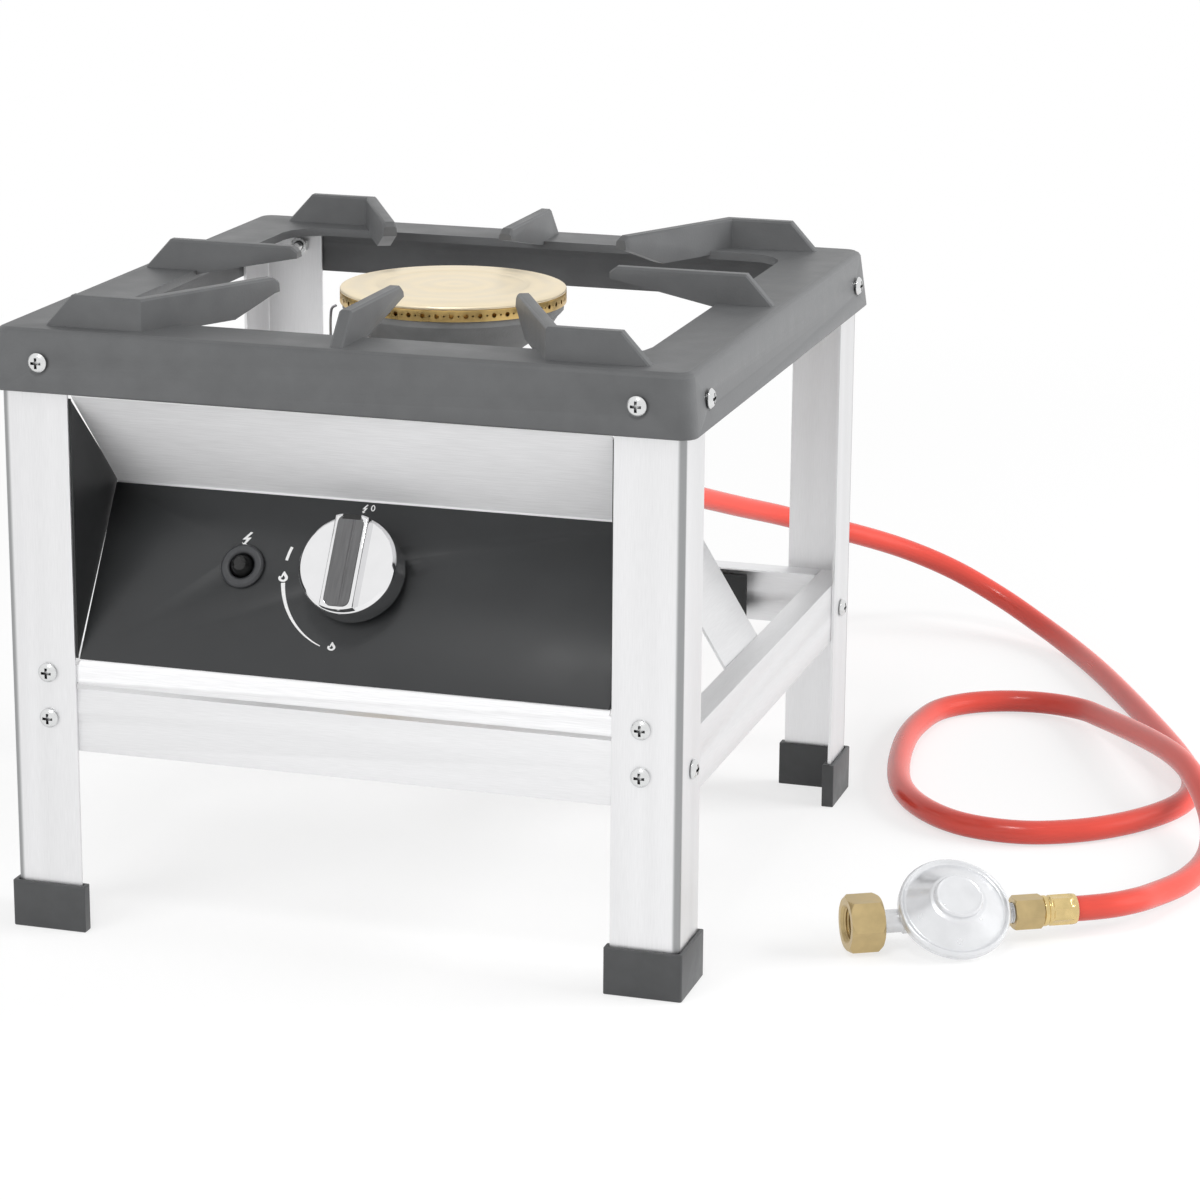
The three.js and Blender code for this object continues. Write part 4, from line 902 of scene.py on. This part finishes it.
# ---------------------------------------------------------------- control panel

MARK_STEPS = 28
FLAME_MIDDLE = 0.3
FLAME_HOLE = 0.42
ZERO_HALVES = (0.33, 0.5)
ZERO_HOLE = 0.68
ZERO_SLIMMING = 1.6
# Outlines of the printed marks, one unit high.
FLAME = ((0.02, 1.0), (0.2, 0.74), (0.42, 0.52), (0.46, 0.24), (0.26, 0.02), (0, -0.02),
         (-0.27, 0.03), (-0.45, 0.26), (-0.38, 0.52), (-0.2, 0.42), (-0.14, 0.68))
BOLT = ((0.18, 1.0), (-0.3, 0.44), (-0.02, 0.46), (-0.16, 0.2), (-0.3, 0.26), (-0.14, 0),
        (0.1, 0.14), (-0.02, 0.17), (0.3, 0.62), (0.02, 0.6), (0.34, 0.96))


def strip(work, left, right):
    """Flat faces between two lines of points, in millimetres."""
    low, high = ([work.verts.new(mm(x, y, 0)) for x, y in line] for line in (left, right))
    return [work.faces.new((low[k], low[k + 1], high[k + 1], high[k]))
            for k in range(len(low) - 1)]


def arc_mark(work, start, end, radius, widths):
    """A curved stroke round the knob's axis, from one width to another."""
    lines = ([], [])
    for share in shares(MARK_STEPS):
        turn = math.radians(start + (end - start) * share)
        half = (widths[0] + (widths[1] - widths[0]) * share) / 2
        for line, reach in zip(lines, (radius - half, radius + half)):
            x, y = polar(reach, turn)
            line.append((x, KNOB_AXIS + y))
    return strip(work, *lines)


def ring_mark(work, outer, inner):
    """The flat band between an outline and a smaller one of as many points."""
    return strip(work, [*outer, outer[0]], [*inner, inner[0]])


def flame_mark(work, x, y, height):
    outer = [(x + px * height, y + py * height) for px, py in eased(FLAME, 0.3, 3, True)]
    middle = (x, y + FLAME_MIDDLE * height)
    inner = [tuple(m + (p - m) * FLAME_HOLE for p, m in zip(point, middle)) for point in outer]
    return ring_mark(work, outer, inner)


def zero_mark(work, x, y, height):
    across, up = (half * height for half in ZERO_HALVES)
    lines = [[(x + across * share ** ZERO_SLIMMING * math.cos(turn),
               y + up * share * math.sin(turn)) for turn in turns(MARK_STEPS)]
             for share in (1, ZERO_HOLE)]
    return ring_mark(work, *lines)


def bolt_mark(work, x, y, height):
    return [work.faces.new([work.verts.new(mm(x + px * height, y + py * height, 0))
                            for px, py in BOLT])]


class RANGE_OT_panel(bpy.types.Operator):
    """Builds the control panel, its printed marks and its cheeks"""

    bl_idname = "pot_range.panel"
    bl_label = "Control panel"

    def execute(self, context):
        for node, edge in (("control_panel", 0.5), ("cheek_left", 0.4), ("cheek_right", 0.4)):
            refined(node, "satin powder coat", edge=edge)
        work = bmesh.new()
        faces = [
            *arc_mark(work, 162, 172.5, 45.5, (1.7, 1.7)),
            *arc_mark(work, 189.5, 250, 45.2, (2.4, 0.5)),
            *flame_mark(work, -45.2, 57.2, 6.6),
            *flame_mark(work, -8.6, 19.5, 5.4),
            *bolt_mark(work, -71.4, 76.2, 8.8),
            *bolt_mark(work, -4.2, 101.6, 5.4),
            *zero_mark(work, 0.6, 105.1, 3.8),
        ]
        thickened(work, faces, context.scene.pot_range_panel.print_height / MM)
        work.transform(PANEL @ moved(0, 0, 0.01))
        shown("panel_marks", work, "screen-printing ink")
        return {"FINISHED"}


# ---------------------------------------------------------------- knob and igniter

KNOB_GAP = 5
GRIP_RISE = 5
GRIP_ROUND = 1.2
GRIP_SET_BACK = 0.7
INSERT_WIDTH = 15
INSERT_LENGTH = 53
INSERT_DEPTH = 1
STEM_BORE = 4.3
STEM_TOP = 20
POINTER_WIDTH = 11
POINTER_LENGTH = 4.6
POINTER_DEPTH = 3.4
POINTER_GAP = 0.05


def grip_outline(radius, width):
    """The grip bar: straight sides, with the drum's round at both ends."""
    end = math.asin(width / 2 / radius)
    return [polar(radius, middle + end * (2 * share - 1))
            for middle in (math.pi / 2, 3 * math.pi / 2) for share in shares(12)]


def box_outline(left, right, low, high):
    return [(left, low), (right, low), (right, high), (left, high)]


def slot_outline(grow):
    x, y = INSERT_WIDTH / 2 + grow, INSERT_LENGTH / 2 + grow
    return [tuple(point) for point in eased([(x, y), (-x, y), (-x, -y), (x, -y)], 5, 5, True)]


class RANGE_OT_knob(bpy.types.Operator):
    """Builds the control knob with its insert, and the valve's stem"""

    bl_idname = "pot_range.knob"
    bl_label = "Control knob"

    def execute(self, context):
        radius, height, width = sizes(context.scene.pot_range_knob, "radius", "height",
                                      "grip_width")
        shoulder = height - GRIP_RISE
        line = eased([(radius - 0.4, KNOB_GAP), (radius, KNOB_GAP + 0.6), (radius, shoulder - 2),
                      (radius - 2, shoulder)], 1.6, 4)
        drum = turned(line, sides=96)
        reach = radius - GRIP_SET_BACK
        levels = [(grip_outline(reach, width), shoulder - 1.5)]
        for share in shares(5):
            out, lift = polar(GRIP_ROUND, share * math.pi / 2)
            inset = GRIP_ROUND - out
            levels.append((grip_outline(reach - inset, width - 2 * inset),
                           height - GRIP_ROUND + lift))
        bore = turned([(STEM_BORE, 0), (STEM_BORE, STEM_TOP)], sides=32)
        seat = prism(slot_outline(CLEARANCE), height - INSERT_DEPTH, height + 2)
        # The pointer is a black inlay in a notch at the grip's rim, in line with the strip.
        half, root = POINTER_WIDTH / 2, radius - POINTER_LENGTH
        notch = box_outline(-half, half, root, radius + 2)
        body = carved(carved(drum, [lofted(levels)], "UNION"),
                      [bore, seat, prism(notch, height - POINTER_DEPTH, height + 2)])
        body.transform(KNOB)
        shown("knob_plated", body, "chrome plate on plastic", ["knob"], "knob", sharp=28)
        low = height - INSERT_DEPTH + CLEARANCE
        groove = turned([(1.1, -60), (1.1, 60)], moved(2.2, 0, height + 1) @ ALONG_Y, 24)
        insert = carved(prism(slot_outline(0), low, height + CLEARANCE),
                        [groove, prism(notch, low - 1, height + 2)])
        insert.transform(KNOB)
        shown("knob_strip", insert, "grey moulded strip", ["knob_insert"], "knob", edge=0.2)
        half -= POINTER_GAP
        inlay = prism(box_outline(-half, half, root + POINTER_GAP, reach - 0.6),
                      height - POINTER_DEPTH + POINTER_GAP, height - 0.7, KNOB)
        shown("knob_pointer", inlay, "polished black polyamide", body="knob", edge=0.2)
        refined("valve_stem", "bright zinc plate", "stem", edge=0.3)
        return {"FINISHED"}


class RANGE_OT_igniter(bpy.types.Operator):
    """Builds the igniter's bezel and its push button"""

    bl_idname = "pot_range.igniter"
    bl_label = "Igniter"

    def execute(self, context):
        shell = eased([(9, -26), (9, CLEARANCE), (13, CLEARANCE), (13, 1.6), (11.6, 3), (8.6, 3),
                       (7.4, 2.2), (7.4, -22)], 0.5)
        shown("igniter_bezel", turned(shell, IGNITER), "satin black polyamide", ["igniter_body"])
        button = eased([(6.6, -12), (6.6, 1.4), (5.9, 3.8), (4.1, 7.7), (2.5, 9)], 1.2)
        shown("igniter_push", turned(button, IGNITER), "polished black polyamide",
              ["igniter_button"], "igniter_button")
        return {"FINISHED"}


# ---------------------------------------------------------------- burner

RING_LOW = 346.8
RING_HIGH = 353.6
BURNER_TOP = 357
RING_WALL = 5
RING_LIP = 9.8
DRILL_LENGTH = 14
PORT_SIDES = 14
SMALL_PORT_SIDES = 8


def port_tree():
    """Drills large and small ports by turns round a ring."""
    tree, given = node_tree("flame ports", {
        "Ports": "Int", "Radius": "Float", "Depth": "Float", "Height": "Float",
        "Port": "Float", "Small Port": "Float"})
    double = add_node(tree, "ShaderNodeMath", {0: given["Ports"], 1: 2.0}, operation="MULTIPLY")[0]
    circle = add_node(tree, "GeometryNodeMeshCircle",
                      {"Vertices": double, "Radius": given["Radius"]})[0]
    position = add_node(tree, "GeometryNodeInputPosition")[0]
    outward = add_node(tree, "FunctionNodeAlignRotationToVector", {"Vector": position},
                       axis="Z")[0]
    index = add_node(tree, "GeometryNodeInputIndex")[0]
    small = add_node(tree, "FunctionNodeIntegerMath", {0: index, 1: 2}, operation="MODULO")[0]
    large = add_node(tree, "FunctionNodeBooleanMath", {0: small}, operation="NOT")[0]
    drills = []
    for chosen, radius, sides in ((large, "Port", PORT_SIDES),
                                  (small, "Small Port", SMALL_PORT_SIDES)):
        drill = add_node(tree, "GeometryNodeMeshCylinder",
                         {"Vertices": sides, "Radius": given[radius], "Depth": given["Depth"]})[0]
        drills.append(add_node(tree, "GeometryNodeInstanceOnPoints",
                               {"Points": circle, "Selection": chosen, "Instance": drill,
                                "Rotation": outward})[0])
    together = add_node(tree, "GeometryNodeJoinGeometry", {0: drills})[0]
    lift = add_node(tree, "ShaderNodeCombineXYZ", {"Z": given["Height"]})[0]
    raised = add_node(tree, "GeometryNodeTransform", {"Geometry": together, "Translation": lift})[0]
    solid = add_node(tree, "GeometryNodeRealizeInstances", {0: raised})[0]
    drilled = add_node(tree, "GeometryNodeMeshBoolean",
                       {"Mesh 1": given["Geometry"], "Mesh 2": solid},
                       operation="DIFFERENCE", solver="EXACT")[0]
    return end_tree(tree, drilled, given)


class RANGE_OT_burner(bpy.types.Operator):
    """Builds the burner's bowl, port ring and cap, and its air shutter and injector"""

    bl_idname = "pot_range.burner"
    bl_label = "Burner"

    def execute(self, context):
        settings = context.scene.pot_range_burner
        rim = settings.radius / MM
        refined("burner_body", "painted cast iron", edge=0.6, sharp=40)
        lip = rim - RING_LIP
        inside = lip - 3
        wall = rim - RING_WALL
        line = eased([(inside, RING_LOW - 3), (lip, RING_LOW - 3), (lip, RING_LOW),
                      (rim, RING_LOW), (rim, RING_HIGH), (wall, RING_HIGH),
                      (wall, RING_HIGH - 2.5), (inside, RING_LOW + 2)], 0.4, 2, True)
        ring = turned([*line, line[0]], sides=settings.ports * 4)
        mesh = grown("burner_port_ring", mesh_from("burner_port_ring", ring), port_tree(), {
            "Ports": settings.ports, "Radius": settings.radius, "Depth": DRILL_LENGTH * MM,
            "Height": (RING_LOW + RING_HIGH) / 2 * MM, "Port": settings.port,
            "Small Port": settings.cross_port, "Material": surface("turned brass")})
        shown("burner_port_ring", mesh, "turned brass", ["burner_ring"], sharp=40)
        seat, low, top = wall - CLEARANCE, RING_HIGH, BURNER_TOP
        line = eased([(seat, low - 1.5), (seat, low), (rim, low), (rim, top - 1.6),
                      (rim - 2, top - 0.7), (rim - 12, top), (46, top), (44, top - 0.5),
                      (20, top - 0.5), (18, top - 0.2)], 0.8, 3)
        shown("burner_turned_cap", turned(line, sides=144), "facing-turned pale brass",
              ["burner_cap"], "burner_cap")
        refined("air_shutter", "bright zinc plate", "air_shutter", edge=0.2)
        refined("injector", "machined brass", edge=0.3)
        return {"FINISHED"}


# ---------------------------------------------------------------- pilot, valve and pipes

PIPE_RADIUS = 4
PIPE_OUT = -30
SPARK_PLACE = (-68.6, -25)
SPARK_BEND = (-67.66, -24.63, 342.8)
SPARK_TIP = (-65.3, -23.77, 344.3)
WIRE_RADIUS = 0.8


class RANGE_OT_gas_way(bpy.types.Operator):
    """Builds the valve, the pipes, the inlet fitting and the pilot parts"""

    bl_idname = "pot_range.gas_way"
    bl_label = "Valve, pipes and pilot"

    def execute(self, context):
        # Each pipe starts with points beside, along and over the panel.
        pipes = (
            ("burner_pipe", [(0, 91.3, PIPE_OUT), (0, 96.3, PIPE_OUT)],
             [(0, -124, 261), (0, -124, 274.7)]),
            ("inlet_pipe", [(24.3, KNOB_AXIS, PIPE_OUT), (32.3, KNOB_AXIS, PIPE_OUT),
                            (41.3, KNOB_AXIS + 5, PIPE_OUT - 12)],
             [(42, -80, 196), (36, 0, 190), (24, 90, 183), (20, 135, 182), (20, 164.4, 182)]),
        )
        for name, start, rest in pipes:
            points = [PANEL @ mm(*point) for point in start] + [mm(*point) for point in rest]
            pipe = tube_along(smooth_route(points, ROUTE_STEPS), PIPE_RADIUS * MM, 24)
            shown(name + "_drawn", pipe, "drawn copper", [name])
        refined("gas_valve", "machined brass", edge=0.8, steps=3)
        refined("inlet_fitting", "machined brass", edge=0.5)
        refined("thermocouple", "drawn copper", edge=0)
        refined("pilot_bracket", "bright zinc plate", edge=0.3)
        insulator = eased([(3.2, 288), (3.2, 298), (2.7, 299), (2.7, 303.5), (3.2, 304.5),
                           (3.2, 311.4), (2, 315)], 0.6, 3)
        shown("electrode_insulator", turned(insulator, moved(*SPARK_PLACE, 0), 32),
              "glazed ceramic", ["ignition_electrode"])
        wire = smooth_route([mm(*SPARK_PLACE, 314.9), mm(*SPARK_PLACE, 337.8), mm(*SPARK_BEND),
                             mm(*SPARK_TIP)], 8)
        shown("electrode_wire", tube_along(wire, WIRE_RADIUS * MM, 16), "drawn nickel wire")
        return {"FINISHED"}


# ---------------------------------------------------------------- screws

# Each row: distance from the middle, the face the head lies on, height, and the sheet between
# head and nut.
TOP_SCREWS = (174.5, 205.614, 337.7, 7.9)
RAIL_SCREWS = (177, 200, 128.4, 4.2)
LEDGE_SCREWS = (177, 200, 155.6, 4.2)
SCREW_NUT_FLATS = 10
NUT_THICKNESS = 4.5
CROSS_REACH = 3.1
CROSS_HALF = 0.8
CROSS_DEPTH = 2.2


def screw_places():
    """Each screw's place, the way its head faces, and the sheet between head and nut."""
    places = []
    for sign_x in (-1, 1):
        for sign_y in (-1, 1):
            for inset, face, height, grip in (TOP_SCREWS, RAIL_SCREWS):
                places.append(((sign_x * inset, sign_y * face, height), (0, sign_y, 0), grip))
                places.append(((sign_x * face, sign_y * inset, height), (sign_x, 0, 0), grip))
        inset, face, height, grip = LEDGE_SCREWS
        places.append(((sign_x * inset, -face, height), (0, -1, 0), grip))
    return places


def screw_tree():
    """Puts a screw on each point, its head along "facing", and a nut at "grip" behind it."""
    tree, given = node_tree("screws and nuts", {"Screw": "Object", "Nut": "Object"})
    facing = add_node(tree, "GeometryNodeInputNamedAttribute", {"Name": "facing"},
                      data_type="FLOAT_VECTOR")[0]
    grip = add_node(tree, "GeometryNodeInputNamedAttribute", {"Name": "grip"},
                    data_type="FLOAT")[0]
    turn = add_node(tree, "FunctionNodeAlignRotationToVector", {"Vector": facing}, axis="Z")[0]
    behind = add_node(tree, "ShaderNodeMath", {0: grip, 1: -1.0}, operation="MULTIPLY")[0]
    offset = add_node(tree, "ShaderNodeVectorMath", {0: facing, "Scale": behind},
                      operation="SCALE")[0]
    shifted = add_node(tree, "GeometryNodeSetPosition",
                       {"Geometry": given["Geometry"], "Offset": offset})[0]
    copies = []
    for points, shape in ((given["Geometry"], "Screw"), (shifted, "Nut")):
        sample = add_node(tree, "GeometryNodeObjectInfo", {"Object": given[shape]})["Geometry"]
        copies.append(add_node(tree, "GeometryNodeInstanceOnPoints",
                               {"Points": points, "Instance": sample, "Rotation": turn})[0])
    together = add_node(tree, "GeometryNodeJoinGeometry", {0: copies})[0]
    return end_tree(tree, together, given)


class RANGE_OT_screws(bpy.types.Operator):
    """Builds the cross-head screws of the frame with their nuts"""

    bl_idname = "pot_range.screws"
    bl_label = "Screws"

    def execute(self, context):
        head, rise, shank, length = sizes(context.scene.pot_range_screws, "head", "rise", "shank",
                                          "length")
        radius, shank = head / 2, shank / 2
        dome = eased([(radius - 0.5, CLEARANCE), (radius, CLEARANCE + 0.5), (radius, rise * 0.42),
                      (radius * 0.7, rise * 0.93), (radius * 0.3, rise)], 1.2)
        screw = turned([(shank - 0.7, -length), (shank, -length + 0.8),
                        *thread(shank, 0.4, 1, -length + 0.8, -2.8), (shank, -2.8),
                        (shank, CLEARANCE), *dome], sides=40)
        reach, half = CROSS_REACH, CROSS_HALF
        wings = [(half, half), (half, reach), (-half, reach), (-half, half), (-reach, half),
                 (-reach, -half), (-half, -half), (-half, -reach), (half, -reach), (half, -half),
                 (reach, -half), (reach, half)]
        screw = carved(screw, [prism(wings, rise - CROSS_DEPTH, rise + 1)])
        bore = shank + 0.1
        nut = hexagon_nut(SCREW_NUT_FLATS, -NUT_THICKNESS, 0,
                          [(bore, -NUT_THICKNESS - 1), (bore, 1)], 0.8)
        samples = {}
        for name, work in (("Screw", screw), ("Nut", nut)):
            mesh = mesh_from(name, work)
            smoothed(mesh, 35)
            samples[name] = linked(name, mesh)
        places = screw_places()
        points = bpy.data.meshes.new("screw_places")
        points.from_pydata([mm(*place) for place, _, _ in places], [], [])
        points.attributes.new("facing", "FLOAT_VECTOR", "POINT")
        points.attributes.new("grip", "FLOAT", "POINT")
        for k, (_, way, thickness) in enumerate(places):
            points.attributes["facing"].data[k].vector = way
            points.attributes["grip"].data[k].value = thickness * MM
        mesh = grown("frame_screws", points, screw_tree(),
                     {**samples, "Material": surface("bright zinc plate")})
        for sample in samples.values():
            bpy.data.objects.remove(sample)
        nodes = [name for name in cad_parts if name.startswith("screw_")]
        shown("frame_screws", mesh, "bright zinc plate", nodes, sharp=35)
        return {"FINISHED"}


# ---------------------------------------------------------------- stage

# Name, place, what it points at, size, power, and whether it is mirrored: the large lamps light
# the object and stay out of its reflections, and the small one sparkles.
LAMPS = (
    ("key", (-1.5, -3.3, 1.4), (0, 0, 0.2), 2.4, 84, False),
    ("fill", (3.3, 0.8, 1.1), (0, 0, 0.2), 2.4, 165, False),
    ("top", (-0.4, 1.2, 3.4), (0, 0, 0.2), 3.0, 10, False),
    ("sparkle", (0.2, -2.0, 3.3), (0.3, 0, 0.1), 0.6, 24, True),
)
SENSOR_WIDTH = 36
WORLD_LIGHT = 0.32
FLOOR_PLACE = (0, 0, -0.0003)
FLOOR_GLOW = 0.68
FLOOR_PAPER = "#E6E6E6"
FLOOR_SHADED = "#9C9C9C"
FLOOR_NEAR = 0.7
FLOOR_FAR = 1.8


def seen_directly(tree):
    """1 for camera, glossy and transmission rays, which show the white background."""
    path = add_node(tree, "ShaderNodeLightPath")
    seen = path["Is Camera Ray"]
    for ray in ("Is Glossy Ray", "Is Transmission Ray"):
        seen = add_node(tree, "ShaderNodeMath", {0: seen, 1: path[ray]}, operation="MAXIMUM")[0]
    return seen


class RANGE_OT_stage(bpy.types.Operator):
    """Builds the camera, the lamps, the world and the floor"""

    bl_idname = "pot_range.stage"
    bl_label = "Stage"

    def execute(self, context):
        scene = context.scene
        scene.view_settings.view_transform = "Standard"
        self.add_camera(scene)
        self.add_lamps()
        self.add_world(scene)
        self.add_floor(scene.pot_range_stage.floor_width / 2)
        return {"FINISHED"}

    def add_camera(self, scene):
        settings = scene.pot_range_stage
        data = bpy.data.cameras.new("camera")
        data.sensor_width = SENSOR_WIDTH
        data.lens = settings.lens
        scene.camera = linked("camera", data)
        scene.camera.matrix_world = (
            Matrix.Translation(settings.camera_place) @ Matrix.Rotation(settings.heading, 4, "Z")
            @ Matrix.Rotation(math.pi / 2 - settings.pitch, 4, "X")
            @ Matrix.Rotation(settings.roll, 4, "Z"))

    def add_lamps(self):
        for name, place, target, size, power, mirrored in LAMPS:
            data = bpy.data.lights.new(name, "AREA")
            data.shape = "SQUARE"
            data.size = size
            data.energy = power
            lamp = linked(name, data)
            lamp.visible_glossy = mirrored
            lamp.location = place
            way = Vector(target) - Vector(place)
            lamp.rotation_euler = way.to_track_quat("-Z", "Y").to_euler()

    def add_world(self, scene):
        scene.world = bpy.data.worlds.new("studio")
        scene.world.use_nodes = True
        tree = scene.world.node_tree
        dim, white = (add_node(tree, "ShaderNodeBackground",
                               {"Color": (1, 1, 1, 1), "Strength": strength})[0]
                      for strength in (WORLD_LIGHT, 1))
        mixed = add_node(tree, "ShaderNodeMixShader", {0: seen_directly(tree), 1: dim, 2: white})[0]
        tree.links.new(mixed, tree.nodes["World Output"].inputs[0])

    def add_floor(self, half):
        mesh = bpy.data.meshes.new("floor")
        mesh.from_pydata([(-half, -half, 0), (half, -half, 0), (half, half, 0), (-half, half, 0)],
                         [], [(0, 1, 2, 3)])
        floor = linked("floor", mesh)
        floor.location = FLOOR_PLACE
        material = bpy.data.materials.new("white studio floor")
        material.use_nodes = True
        tree = material.node_tree
        tree.nodes.remove(tree.nodes["Principled BSDF"])
        # Plain paper lights the object. Seen directly or mirrored, the floor is mostly its own
        # white, with a part that takes the shadow, and it is all white further out.
        plain, shaded = (add_node(tree, "ShaderNodeBsdfDiffuse", {"Color": tone(colour, 1)})[0]
                         for colour in (FLOOR_PAPER, FLOOR_SHADED))
        glow, white = (add_node(tree, "ShaderNodeEmission", {"Strength": strength})[0]
                       for strength in (FLOOR_GLOW, 1))
        near = add_node(tree, "ShaderNodeAddShader", {0: shaded, 1: glow})[0]
        place = add_node(tree, "ShaderNodeTexCoord")["Object"]
        reach = add_node(tree, "ShaderNodeVectorMath", {0: place}, operation="LENGTH")["Value"]
        far = add_node(tree, "ShaderNodeMapRange",
                       {"Value": reach, "From Min": FLOOR_NEAR, "From Max": FLOOR_FAR},
                       interpolation_type="SMOOTHSTEP")[0]
        shown_floor = add_node(tree, "ShaderNodeMixShader", {0: far, 1: near, 2: white})[0]
        mixed = add_node(tree, "ShaderNodeMixShader",
                         {0: seen_directly(tree), 1: plain, 2: shown_floor})[0]
        tree.links.new(mixed, tree.nodes["Material Output"].inputs[0])
        mesh.materials.append(material)


# ---------------------------------------------------------------- add-on


class RANGE_PT_sidebar(bpy.types.Panel):
    """Lists the pieces of the range"""

    bl_idname = "RANGE_PT_sidebar"
    bl_label = "Pot range"
    bl_space_type = "VIEW_3D"
    bl_region_type = "UI"
    bl_category = "Pot range"

    def draw(self, context):
        for name, kind in SETTINGS.items():
            group = getattr(context.scene, name)
            box = self.layout.box()
            box.label(text=kind.__doc__.rstrip("."))
            for setting in kind.__annotations__:
                box.prop(group, setting)
        for operator in OPERATORS:
            self.layout.operator(operator.bl_idname)


SETTINGS = {
    "pot_range_stage": StageSettings,
    "pot_range_casting": CastingSettings,
    "pot_range_frame": FrameSettings,
    "pot_range_panel": PanelSettings,
    "pot_range_knob": KnobSettings,
    "pot_range_burner": BurnerSettings,
    "pot_range_screws": ScrewSettings,
    "pot_range_hose": HoseSettings,
}
# The regulator comes before the hose.
OPERATORS = (RANGE_OT_stage, RANGE_OT_regulator, RANGE_OT_hose, RANGE_OT_casting, RANGE_OT_frame,
             RANGE_OT_panel, RANGE_OT_knob, RANGE_OT_igniter, RANGE_OT_burner, RANGE_OT_gas_way,
             RANGE_OT_screws)
CLASSES = (*SETTINGS.values(), *OPERATORS, RANGE_PT_sidebar)


def register():
    for kind in CLASSES:
        bpy.utils.register_class(kind)
    for name, kind in SETTINGS.items():
        setattr(bpy.types.Scene, name, bpy.props.PointerProperty(type=kind))


def unregister():
    for name in SETTINGS:
        delattr(bpy.types.Scene, name)
    for kind in reversed(CLASSES):
        bpy.utils.unregister_class(kind)


def main():
    register()
    for operator in OPERATORS:
        group, name = operator.bl_idname.split(".")
        getattr(getattr(bpy.ops, group), name)()


if __name__ == "__main__":
    main()
